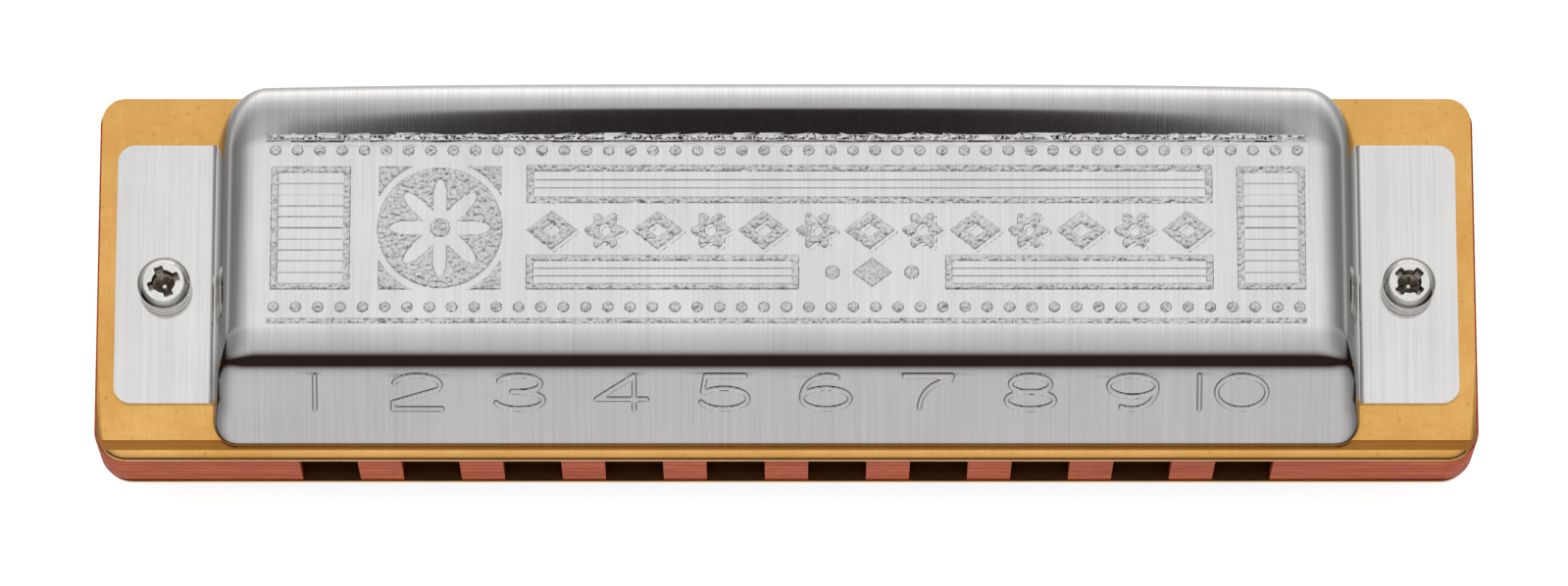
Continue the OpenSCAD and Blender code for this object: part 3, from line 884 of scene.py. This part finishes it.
def carve(ob, x_range, v_range, spacing, rule):
    """Cuts rule(x, v) out of the cover's face; a negative value is a depth."""
    counts = [max(round((r[1] - r[0]) / spacing), 2) for r in (x_range, v_range)]
    bpy.ops.mesh.primitive_grid_add(x_subdivisions=counts[0], y_subdivisions=counts[1], size=1)
    cutter = bpy.context.object
    spots = np.empty(len(cutter.data.vertices) * 3)
    cutter.data.vertices.foreach_get("co", spots)
    spots = spots.reshape(-1, 3)
    x = between(x_range[0], x_range[1], spots[:, 0] + 0.5)
    v = between(v_range[0], v_range[1], spots[:, 1] + 0.5)
    level = upper_top_z + surface_height(v)
    spots = np.stack([x, mouth_y + v, level + np.clip(rule(x, v), -0.25, CLEAR)], 1) * MM
    cutter.data.vertices.foreach_set("co", spots.ravel())
    cutter.data.update()
    editing(cutter)
    bpy.ops.mesh.select_all(action="SELECT")
    bpy.ops.mesh.extrude_region_move(TRANSFORM_OT_translate={"value": (0, 0, 2 * MM)})
    bpy.ops.mesh.select_all(action="SELECT")
    bpy.ops.mesh.normals_make_consistent(inside=False)
    done(cutter)
    return cut(ob, cutter)


def to_segment(x, v, start, end):
    """Distance from each point to a straight stroke."""
    (x0, v0), (x1, v1) = start, end
    dx, dv = x1 - x0, v1 - v0
    along = np.clip(((x - x0) * dx + (v - v0) * dv) / (dx * dx + dv * dv), 0, 1)
    return np.hypot(x - x0 - along * dx, v - v0 - along * dv)


def to_box(x, v, outline):
    """Signed distance to a rectangle (x0, v0, x1, v1), negative inside."""
    x0, v0, x1, v1 = outline
    dx = np.abs(x - (x0 + x1) / 2) - (x1 - x0) / 2
    dv = np.abs(v - (v0 + v1) / 2) - (v1 - v0) / 2
    return np.hypot(np.maximum(dx, 0), np.maximum(dv, 0)) + np.minimum(np.maximum(dx, dv), 0)


def groove(distance, width, depth):
    """A groove along a stroke, with sloping walls and a flat floor."""
    return np.maximum((distance - width / 2) * GROOVE_SLOPE, -depth)


print("engraving helpers ready")

# %% [markdown]
# The hole numbers are wide and thin, drawn with single strokes. Each figure is a few straight strokes and
# ellipse arcs in a box two units wide and two high, scaled to its place on the sloping strip.

# %% Hole numbers
FIGURE_W = 4.1
FIGURE_H = 2.6
FIGURE_MIDDLE_V = 4.4
FIGURE_SHIFT = -0.85
STROKE_W = 0.4
STROKE_DEPTH = 0.09


def bow(x, v, rx, rv, first, last, steps=14):
    return arc(x, v, rx, rv, first, last, steps)


FIGURES = {
    0: [bow(0, 0, 1, 1, 0, 360, 32)],
    1: [[(0, -1), (0, 1)]],
    2: [bow(0, 0.44, 0.93, 0.56, 168, -32) + [(-0.96, -0.62), (-0.96, -1), (0.98, -1)]],
    3: [bow(0, 0.52, 0.86, 0.48, 160, -90), bow(0, -0.48, 0.96, 0.52, 90, -164), [(-0.3, 0.04), (0, 0.04)]],
    4: [[(0.5, -1), (0.5, 1), (-1, -0.42), (1, -0.42)]],
    5: [[(0.84, 1), (-0.72, 1), (-0.84, 0.06)] + bow(0, -0.38, 0.97, 0.62, 142, -160)],
    6: [bow(0, -0.38, 0.96, 0.62, 0, 360, 28), bow(0.05, -0.3, 1.01, 1.3, 176, 66)],
    7: [[(-0.95, 1), (0.95, 1)] + bow(0.95, -1, 1.3, 1.75, 92, 178)],
    8: [bow(0, 0.5, 0.8, 0.5, 0, 360, 24), bow(0, -0.48, 0.96, 0.52, 0, 360, 26)],
    9: [bow(0, 0.38, 0.96, 0.62, 0, 360, 28), bow(-0.05, 0.3, 1.01, 1.3, 356, 246)],
}

hole_pitch = 7.5


def hole_x(i):
    return (i - 4.5) * hole_pitch


def number_strokes():
    """Every stroke of the ten hole numbers, as runs of (x, v) points on the strip."""
    runs = []
    for i in range(10):
        middle = hole_x(i) + FIGURE_SHIFT
        parts = [(i + 1, middle, 1)] if i < 9 else [(1, middle - 2.6, 1), (0, middle + 0.5, 1)]
        for figure, x, wide in parts:
            for run in FIGURES[figure]:
                runs.append([(x + px * wide * (FIGURE_W - STROKE_W) / 2,
                              FIGURE_MIDDLE_V + pv * (FIGURE_H - STROKE_W) / 2) for px, pv in run])
    return runs


def number_rule(x, v):
    nearest = np.full(x.shape, 9.0)
    for run in number_strokes():
        xs = [p[0] for p in run]
        near = (x > min(xs) - 1) & (x < max(xs) + 1)
        spot_x, spot_v = x[near], v[near]
        found = nearest[near]
        for start, end in zip(run, run[1:]):
            found = np.minimum(found, to_segment(spot_x, spot_v, start, end))
        nearest[near] = found
    return groove(nearest, STROKE_W, STROKE_DEPTH)


print("number strokes:", len(number_strokes()))

# %% [markdown]
# ## Ornament
# The flat top carries a stamped frieze: a stippled border line and a row of round dots along the front
# and the back, frames of ruled lines, a roundel, and a band of motifs. Stipple is what a matting punch
# leaves, a field of tiny pits, so the rule gives every crossing of the grid inside a stippled shape its
# own depth, drawn from a seeded random stream. The motifs are plain geometry: lozenges and rosettes.

# %% Ornament rules
BAND_W = 0.5
PIT_LEAST = 0.012
PIT_MOST = 0.066
LINE_W = 0.13
LINE_DEPTH = 0.05
FINE_LINE_W = 0.1
DOT_R = 0.43
DOT_COUNT = 47
ORNAMENT_SPACING = 0.115


def middle_of(y_middle):
    """Depth from the mouth of a line given from the middle of the plate."""
    return y_middle + plate_d / 2


def stippled(inside, pits):
    """Cuts pits where the signed distance is negative, with a crisp edge."""
    return np.maximum(inside * PUNCH_SLOPE, -pits)


def band(outline, x, v):
    """Signed distance to a band that runs just inside a rectangle's outline."""
    outer = to_box(x, v, outline)
    return np.maximum(outer, -outer - BAND_W)


def ruled(x, v, outline, count):
    """Engraved lines across a frame, evenly spaced."""
    x0, v0, x1, v1 = outline
    pitch = (v1 - v0) / (count + 1)
    nearest = np.abs((v - v0) / pitch - np.clip(np.round((v - v0) / pitch), 1, count)) * pitch
    past = np.maximum(x0 - x, x - x1)
    return groove(np.maximum(nearest, past), LINE_W, LINE_DEPTH)


def dot_row(x, v, row_v, pits):
    pitch = 2 * (plateau_half - 0.75) / (DOT_COUNT - 1)
    turn = np.clip(np.round(x / pitch), -(DOT_COUNT // 2), DOT_COUNT // 2)
    away = np.hypot(x - turn * pitch, v - row_v)
    return stippled(away - DOT_R, pits + 0.02)


def rosette(x, v, centre, radius, petals, hollow=0.35):
    """Signed distance to a flower: its outline swings in and out round the centre."""
    dx, dv = x - centre[0], v - centre[1]
    swing = 1 - hollow * (0.5 - 0.5 * np.cos(petals * np.arctan2(dv, dx)))
    return np.hypot(dx, dv) - radius * swing


def lozenge(x, v, centre, half_x, half_v):
    dx, dv = np.abs(x - centre[0]), np.abs(v - centre[1])
    return (dx / half_x + dv / half_v - 1) * half_x * half_v / math.hypot(half_x, half_v)


# %% Ornament layout
LEFT_FRAME = (-37.85, middle_of(-2.42), -31.95, middle_of(6.96))
RIGHT_FRAME = (33.0, middle_of(-2.42), 38.1, middle_of(6.96))
SQUARE = (-29.94, middle_of(-2.42), -20.88, middle_of(6.96))
TOP_FRAME = (-19.1, middle_of(4.13), 31.3, middle_of(7.1))
LOW_LEFT_FRAME = (-19.1, middle_of(-2.42), 0.95, middle_of(0.25))
LOW_RIGHT_FRAME = (11.6, middle_of(-2.42), 31.3, middle_of(0.25))
BORDERS = [(-38.1, middle_of(y - 0.25), 38.1, middle_of(y + 0.25)) for y in (-4.76, 9.17)]
DOT_ROWS = [middle_of(-3.73), middle_of(8.15)]
MOTIF_V = middle_of(2.1)
MOTIF_HALF_V = 1.5
MOTIF_COUNT = 13
DISC_R = 4.55
STAR_R = 3.7
STAR_PETALS = 8
EYE_R = 0.75
CORNER_GAP = 0.5
HOLLOW_SLOPE, HOLLOW_DEPTH = 1.2, 0.05


def frames(x, v, pits):
    parts = []
    for frame_box, lines in ((LEFT_FRAME, 9), (RIGHT_FRAME, 9), (TOP_FRAME, 2),
                             (LOW_LEFT_FRAME, 2), (LOW_RIGHT_FRAME, 2)):
        parts.append(stippled(band(frame_box, x, v), pits))
        x0, v0, x1, v1 = frame_box
        inner = (x0 + BAND_W, v0 + BAND_W, x1 - BAND_W, v1 - BAND_W)
        parts.append(ruled(x, v, inner, lines))
        parts.append(groove(np.abs(to_box(x, v, inner)), FINE_LINE_W, 0.035))
    return parts


def roundel(x, v, pits):
    """A stippled disc in a square with stippled corners, and a smooth star left standing in it."""
    x0, v0, x1, v1 = SQUARE
    centre = ((x0 + x1) / 2, (v0 + v1) / 2)
    disc = np.hypot(x - centre[0], v - centre[1]) - DISC_R
    star = rosette(x, v, centre, STAR_R, STAR_PETALS, 0.62)
    eye = np.hypot(x - centre[0], v - centre[1]) - EYE_R
    field = np.maximum(disc, -np.maximum(star, -eye))
    corners = np.maximum(to_box(x, v, SQUARE), CORNER_GAP - disc)
    return [stippled(field, pits), stippled(corners, pits),
            groove(np.abs(disc), FINE_LINE_W, 0.04), groove(np.abs(star), FINE_LINE_W, 0.03)]


def motifs(x, v, pits):
    """Lozenges and rosettes in turn, each with a fine shadow line at its lower right."""
    parts = []
    start, end = TOP_FRAME[0] + 1.9, TOP_FRAME[2] - 1.9
    for k in range(MOTIF_COUNT):
        centre = (start + (end - start) * k / (MOTIF_COUNT - 1), MOTIF_V)

        def shape(dx, dv):
            if k % 2:
                ring = rosette(x - dx, v - dv, centre, MOTIF_HALF_V, 6)
                hub = np.hypot(x - dx - centre[0], v - dv - centre[1]) - 0.4
                return np.maximum(ring, -hub)
            return np.maximum(lozenge(x - dx, v - dv, centre, 1.9, MOTIF_HALF_V),
                              -lozenge(x - dx, v - dv, centre, 0.7, 0.5))

        figure = shape(0, 0)
        parts.append(stippled(figure, pits))
        shadow = np.maximum(np.abs(shape(0.16, -0.16)), 0.1 - figure)
        parts.append(groove(shadow, 0.09, 0.04))
    middle = ((LOW_LEFT_FRAME[2] + LOW_RIGHT_FRAME[0]) / 2, middle_of(-1.1))
    parts.append(np.maximum(lozenge(x, v, middle, 1.5, 1.15) * HOLLOW_SLOPE, -HOLLOW_DEPTH))
    for side in (-1, 1):
        ball = np.hypot(x - middle[0] - side * 2.9, v - middle[1]) - 0.55
        parts.append(np.maximum(ball * HOLLOW_SLOPE, -HOLLOW_DEPTH))
    return parts


def ornament_rule(x, v):
    dice = np.random.default_rng(11)
    pits = between(PIT_LEAST, PIT_MOST, dice.random(x.shape) ** 1.3)
    parts = [stippled(to_box(x, v, b), pits) for b in BORDERS]
    parts += [dot_row(x, v, row, pits) for row in DOT_ROWS]
    parts += frames(x, v, pits) + roundel(x, v, pits) + motifs(x, v, pits)
    return np.minimum.reduce(parts)


def engrave_top(ob):
    return carve(ob, (-38.25, 38.25), (plateau_front + 0.02, plateau_back + 1.4), ORNAMENT_SPACING,
                 ornament_rule)


engrave_top(cover)
print("with its ornament:", triangles(cover), "triangles")

# %% [markdown]
# The lower cover comes from the same press, so it is the same shape turned over, and it has no numbers.
# It is copied before the upper one gets its figures, and turned half round about the Y axis.

# %% Lower cover, then the numbers


def turned_over(ob, name):
    copy = ob.copy()
    copy.data = ob.data.copy()
    bpy.context.scene.collection.objects.link(copy)
    copy.rotation_euler = (0, math.pi, 0)
    copy.location = (0, 0, (upper_top_z + lower_plate_z) * MM)
    return settled(copy, name)


lower_cover = turned_over(cover, "lower_cover_shell")
number_v = (FIGURE_MIDDLE_V - FIGURE_H / 2 - 0.06, FIGURE_MIDDLE_V + FIGURE_H / 2 + 0.06)
carve(cover, (-37.5, 37.5), number_v, 0.08, number_rule)
strip_normal = (0, -math.sin(strip_slope), math.cos(strip_slope))
for shell, node, way in ((cover, "upper_cover", 1), (lower_cover, "lower_cover", -1)):
    smoothed(shell, 35)
    flat_shaded(shell, Vector((0, 0, way)), Vector(strip_normal) * way)
    clothe(shell, cover_steel, "body", "cover_steel", node)

# %% [markdown]
# ## Comb and reed plates
# The comb and both plates are cut from flat stock with one rounded outline. A box is added, and its four
# upright edges are rounded with the bevel operator, the front pair and the back pair with their own
# radius. Saw cuts and drilled holes then come out as booleans, because that is how the real ones are
# made, and a last bevel takes the sharpness off every edge.

# %% Sizes of comb, plates and reeds
FRONT_CORNER_R = 2.2
BACK_CORNER_R = 1.7
CORNER_STEPS = 10
PILOT_R = 0.71
PILOT_DEPTH = 2.8
hole_w = 4.3
back_wall = 4.15
chamber_step = 5.6
reed_w = 2.1
reed_t = 0.25
slot_gap = 0.07
root_gap = 0.02
pad_l = 3.2
pad_w = reed_w + 0.4
# from a chamber's back wall to the pad of its blow reed, and to the tip of its draw reed
pad_margin = 0.4
tip_margin = 0.6
draw_pad_from_mouth = lip_from_mouth + 3.4
draw_root = draw_pad_from_mouth + pad_l
rivet_r = 0.55
rivet_gap = 0.01
plate_head_r = 1.4
plate_head_h = 0.6
plate_screw_l = comb_t / 2 - 0.4 + plate_t
plate_screw_places = ([(side * 2 * hole_pitch, mouth_y + 3) for side in (-1, 1)]
                      + [(side * 4.5 * hole_pitch, mouth_y + plate_d - back_wall / 2) for side in (-1, 0, 1)])


def chamber_d(i):
    return plate_d - back_wall - chamber_step * i / 9


def reed_l(i):
    return chamber_d(i) - tip_margin - draw_root


blow_roots = [chamber_d(i) - pad_margin - pad_l for i in range(10)]
draw_roots = [draw_root] * 10
print("longest and shortest tongue:", round(reed_l(0), 2), round(reed_l(9), 2))

# %% Flat stock with round corners


def stock(name, low, high):
    ob = block(name, low, high)
    middle = (low[1] + high[1]) / 2 * MM
    for radius, front in ((FRONT_CORNER_R, True), (BACK_CORNER_R, False)):
        editing(ob, "EDGE")
        choose(ob, "edges", lambda e: (e.verts[0].co.xy - e.verts[1].co.xy).length < 1e-7
               and (e.verts[0].co.y < middle) == front)
        bpy.ops.mesh.bevel(offset=radius * MM, segments=CORNER_STEPS, affect="EDGES")
        done(ob)
    return ob


comb = stock("comb_wood_body", comb_low, comb_high)
cut(comb, blocks("chambers", [((hole_x(i) - hole_w / 2, comb_low.y - 1, comb_z - 1),
                               (hole_x(i) + hole_w / 2, mouth_y + chamber_d(i), upper_plate_z + 1))
                              for i in range(10)]))
cut(comb, drums("bores", screw_places, BOLT_R, comb_z - 1, upper_plate_z + 1))
cut(comb, drums("pilots", plate_screw_places, PILOT_R, upper_plate_z - PILOT_DEPTH, upper_plate_z + 1, 20))
cut(comb, drums("pilots", plate_screw_places, PILOT_R, comb_z - 1, comb_z + PILOT_DEPTH, 20))
softened(comb, 0.07, 2)
clothe(comb, comb_wood, "body", "comb_wood", "comb")

# %% [markdown]
# A reed plate lies with its outer face away from the comb. Its height grows outwards from the comb's face,
# upwards for the top plate and downwards for the bottom one, so `up` is 1 or -1. It has a groove that the
# cover's lip stands in, a slot under each tongue, a countersink for each screw, and front corners that
# are filed round so that they don't catch the lips.

# %% Reed plates
GROOVE_FRONT = lip_from_mouth - 0.3
GROOVE_BACK = lip_from_mouth + sheet_t + 0.05
FILED_W = 0.42


def countersink():
    clear_r, sink_r = 0.8, plate_head_r + 0.1
    return turned("countersink", [(clear_r, -1), (clear_r, plate_t - plate_head_h), (sink_r, plate_t),
                                  (sink_r, plate_t + 1)], 32)


def faced(ob, up):
    """Turns a piece over about the X axis when its plate faces down."""
    if up < 0:
        ob.rotation_euler = (math.pi, 0, 0)
        settled(ob, ob.name)
    return ob


def file_corners(ob, outer_z):
    editing(ob, "EDGE")
    choose(ob, "edges", lambda e: all(abs(p.co.z / MM - outer_z) < 1e-4
                                      and p.co.y / MM < mouth_y + FRONT_CORNER_R + 0.01
                                      and abs(p.co.x) / MM > plate_half - FRONT_CORNER_R - 0.01
                                      for p in e.verts) and len(e.link_faces) == 2
           and abs(e.link_faces[0].normal.z - e.link_faces[1].normal.z) > 0.5)
    bpy.ops.mesh.bevel(offset=FILED_W * MM, segments=3, affect="EDGES")
    return done(ob)


def reed_plate(name, base, up, roots, way):
    """Plate whose comb side is at height base; way is -1 where the tongues point to the mouth."""
    outer = base + up * plate_t

    def between_faces(x0, v0, x1, v1, a, b):
        z0, z1 = sorted((base + up * a, base + up * b))
        return (x0, mouth_y + v0, z0), (x1, mouth_y + v1, z1)

    ob = stock(name, (-plate_half, mouth_y, min(base, outer)),
               (plate_half, mouth_y + plate_d, max(base, outer)))
    file_corners(ob, outer)
    cut(ob, block("groove", *between_faces(-plate_half - 1, GROOVE_FRONT, plate_half + 1, GROOVE_BACK,
                                           plate_t - groove_depth, plate_t + 1)))
    slots = []
    for i, root in enumerate(roots):
        ends = sorted((root - way * slot_gap, root + way * (reed_l(i) + 2 * slot_gap)))
        half = reed_w / 2 + slot_gap
        slots.append(between_faces(hole_x(i) - half, ends[0], hole_x(i) + half, ends[1], -1, plate_t + 1))
    cut(ob, blocks("slots", slots))
    rivets = [(hole_x(i), mouth_y + root - way * pad_l / 2) for i, root in enumerate(roots)]
    low, high = min(base, outer) - 1, max(base, outer) + 1
    cut(ob, drums("rivet_holes", rivets, rivet_r + rivet_gap, low, high, 24))
    cut(ob, drums("bores", screw_places, BOLT_R, low, high))
    cut(ob, placed_copies("countersinks", faced(countersink(), up),
                          [(x, y, base) for x, y in plate_screw_places]))
    return softened(ob, 0.02, 1)


upper_plate = reed_plate("upper_plate", upper_plate_z, 1, blow_roots, -1)
lower_plate = reed_plate("lower_plate", comb_z, -1, draw_roots, 1)
clothe(upper_plate, plate_brass, "body", "plate_brass", "upper_reed_plate")
clothe(lower_plate, plate_brass, "body", "plate_brass", "lower_reed_plate")

# %% [markdown]
# ## Reeds
# A reed is one strip of brass with a thick riveted root and a tongue that is thinnest near its middle.
# A real tongue bends as it swings, but this one stays straight, with many rows along its length. A flat
# grid is added, placed in the slot, given its thickness with Solidify, and then its under side is moved to
# follow the thickness.

# %% Reed tongues
TONGUE_ROWS = 28
THICKNESS = ([0, 0.1, 0.3, 0.6, 0.85, 1], [1, 1, 0.7, 0.7, 1, 1])
BEND_SHARE = 0.35


def tongue(name, i, plate_face, root, way):
    """Tongue i below a plate's lower face, from its root along way, -1 being towards the mouth."""
    length = reed_l(i) - root_gap
    bpy.ops.mesh.primitive_grid_add(x_subdivisions=4, y_subdivisions=TONGUE_ROWS, size=1)
    ob = bpy.context.object
    ob.name = ob.data.name = name
    start = mouth_y + root + way * root_gap
    for p in ob.data.vertices:
        share = 0.5 + way * p.co.y
        p.co = ((hole_x(i) + p.co.x * reed_w) * MM, (start + way * share * length) * MM, plate_face * MM)
    modified(ob, "SOLIDIFY", thickness=reed_t * MM, offset=-1)
    for p in ob.data.vertices:
        if p.co.z / MM < plate_face - reed_t / 2:
            share = way * (p.co.y / MM - start) / length
            p.co.z = (plate_face - reed_t * np.interp(share, *THICKNESS)) * MM
    return softened(ob, 0.03, 1)


def fit_reeds(kind, plate_face, roots, way):
    for i, root in enumerate(roots):
        body = f"{kind}_reed_{i + 1:02d}"
        ob = tongue(f"{kind}_tongue_{i + 1:02d}", i, plate_face, root, way)
        root_y = mouth_y + root
        bend_y = root_y + way * BEND_SHARE * reed_l(i)
        hole_x(i) * MM
        root_y * MM
        hole_x(i) * MM
        bend_y * MM
        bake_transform(ob)
        ob.data.materials.append(reed_brass)
        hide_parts(body)


fit_reeds("blow", upper_plate_z, blow_roots, -1)
fit_reeds("draw", lower_plate_z, draw_roots, 1)

# %% [markdown]
# The riveted roots are small plates with a bore, and the rivets are turned. Each is modelled once, with
# its edges rounded, and copied to its ten places, each row as one piece.

# %% Reed pads and rivets
RIVET_PROFILE = [
    # radius, and height above the plate's lower face
    (0.30, -0.52), (0.58, -0.49), (0.73, -0.42), (0.80, -0.32), (0.80, -reed_t), (rivet_r, -reed_t),
    (rivet_r, plate_t), (0.50, plate_t + 0.05), (0.25, plate_t + 0.08)]


def reed_pad():
    ob = block("pad", (-pad_w / 2, -pad_l / 2, -reed_t), (pad_w / 2, pad_l / 2, 0))
    cut(ob, drums("bore", [(0, 0)], rivet_r + rivet_gap, -1, 1, 24))
    return softened(ob, 0.05, 2)


def fit_row(name, ob, plate_face, roots, way, material, slot, node):
    places = [(hole_x(i), mouth_y + root - way * pad_l / 2, plate_face) for i, root in enumerate(roots)]
    clothe(placed_copies(name, ob, places), material, "body", slot, node)


for kind, plate_face, roots, way in (("blow", upper_plate_z, blow_roots, -1),
                                     ("draw", lower_plate_z, draw_roots, 1)):
    fit_row(f"{kind}_pads", reed_pad(), plate_face, roots, way, reed_brass, "reed_brass",
            f"{kind}_reed_pads")
    fit_row(f"{kind}_rivets", smoothed(turned("rivet", RIVET_PROFILE, 24), 40), plate_face, roots, way,
            rivet_brass, "rivet_brass", f"{kind}_reed_rivets")

# %% [markdown]
# ## Fasteners
# Screws are lathe work: a profile of radii and heights is extruded ring by ring. The thread is a stack of
# small rings, which at this size can't be told from a helix. The recess in the head is a round bore with
# four lobes, cut one after the other, and each screw stopped at its own angle when it was tightened.

# %% Cover screws and nuts
HEAD_BASE = upper_top_z + sheet_t
NUT_H = 1.6
NUT_CORNER_R = 4 / math.sqrt(3)
SHANK_L = 2 * (plate_t + sheet_t) + comb_t + NUT_H + 0.4
THREAD_L = 4
THREAD_PITCH = 0.4
PLATE_THREAD_PITCH = 0.36
HEAD_PROFILE = [(1.95, 0), (1.95, 0.42), (1.84, 0.5), (1.84, 0.62), (1.95, 0.7), (1.95, 1.5), (1.9, 1.62),
                (1.5, 2)]
LOBE_TURNS = (22, 45)


def thread(bottom, top, radius, depth, pitch):
    """Rings of a screw thread between two heights, crest and root in turn."""
    count = round((top - bottom) / pitch)
    rings = []
    for k in range(count):
        z = bottom + (top - bottom) * k / count
        rings += [(radius - depth, z), (radius, z + pitch * 0.4), (radius, z + pitch * 0.55)]
    return rings + [(radius - depth, top)]


def cover_screw(turn):
    thread_top = THREAD_L - SHANK_L
    profile = thread(-SHANK_L, thread_top, 1, 0.16, THREAD_PITCH) + [(1, thread_top + 0.2), (1, 0)]
    ob = turned("screw", profile + HEAD_PROFILE, 48)
    cut(ob, turned("bore", [(0.12, 0.5), (0.22, 0.62), (0.84, 0.9), (0.88, 2.1)], 40))
    for quarter in (0, 90):
        lobe = block("lobe", (-1.2, -0.34, 0.95), (1.2, 0.34, 3))
        softened(lobe, 0.1, 2)
        lobe.rotation_euler = (0, 0, math.radians(turn + quarter))
        cut(ob, settled(lobe, "lobe"))
    return softened(ob, 0.025, 2, 28)


def cover_nut():
    ob = turned("nut", [(NUT_CORNER_R, 0), (NUT_CORNER_R, NUT_H)], 6)
    ob.rotation_euler = (0, 0, math.radians(30))
    settled(ob, "nut")
    cut(ob, turned("chamfer", [(1.98, -0.01), (2.4, 0.26), (2.4, NUT_H - 0.26), (1.98, NUT_H + 0.01)], 48),
        "INTERSECT")
    cut(ob, turned("bore", [(1.22, -0.02), (1.01, 0.2), (1.01, NUT_H - 0.2), (1.22, NUT_H + 0.02)], 40))
    return softened(ob, 0.03, 2, 30)


def polished_nickel():
    """Bright plating, with painted shade, dark brown, in the recess."""
    metal, light, dark, tone = brushed("screw_nickel", shade(0.76, 0.745, 0.72),
                                       shade(0.66, 0.64, 0.61), 0.09, (5000, 5000, 900), 3e-7)
    dx = abs(metal.along("X")) - screw_x
    dy = metal.along("Y") - screw_y
    height = metal.along("Z") - HEAD_BASE
    near = 1 - metal.steps(dx * dx + dy * dy, 1.4, 1.7)
    # painted shade: the colour darkens to brown inside the recess of the head
    painted_recess_shade = near * metal.steps(height, 0.5, 0.6) * (1 - metal.steps(height, 1.75, 1.98))
    plating = metal.mix(tone, light, dark)
    return metal.set(Base_Color=metal.mix(painted_recess_shade * 0.75, plating, shade(0.16, 0.115, 0.085)))


screw_nickel = polished_nickel()
screws = joined("cover_screw_pair", [placed_copies("screw", cover_screw(turn), [(x, y, HEAD_BASE)])
                                     for (x, y), turn in zip(screw_places, LOBE_TURNS)])
clothe(screws, screw_nickel, "body", "screw_steel", "cover_screws")
nut_z = lower_plate_z - sheet_t - NUT_H
nuts = placed_copies("cover_nut_pair", cover_nut(), [(x, y, nut_z) for x, y in screw_places])
clothe(nuts, screw_nickel, "body", "screw_steel", "cover_nuts")

# %% [markdown]
# A plate screw lies flush: its slotted head fills the countersink and its thread bites into the comb.

# %% Plate screws


def plate_screw():
    tip = plate_t - plate_screw_l
    profile = [(0.2, tip)] + thread(tip + 0.5, -0.1, 0.7, 0.13, PLATE_THREAD_PITCH) + [
        (0.7, 0), (0.7, plate_t - plate_head_h), (plate_head_r, plate_t - 0.02), (1.36, plate_t)]
    ob = turned("plate_screw", profile, 28)
    cut(ob, block("slot", (-2, -0.16, plate_t - 0.3), (2, 0.16, plate_t + 1)))
    return softened(ob, 0.02, 1, 35)


for name, base, up, node in (("upper_screw_set", upper_plate_z, 1, "upper_plate_screws"),
                             ("lower_screw_set", comb_z, -1, "lower_plate_screws")):
    ob = placed_copies(name, faced(plate_screw(), up), [(x, y, base) for x, y in plate_screw_places])
    clothe(ob, zinc, "body", "plate_screw_steel", node)
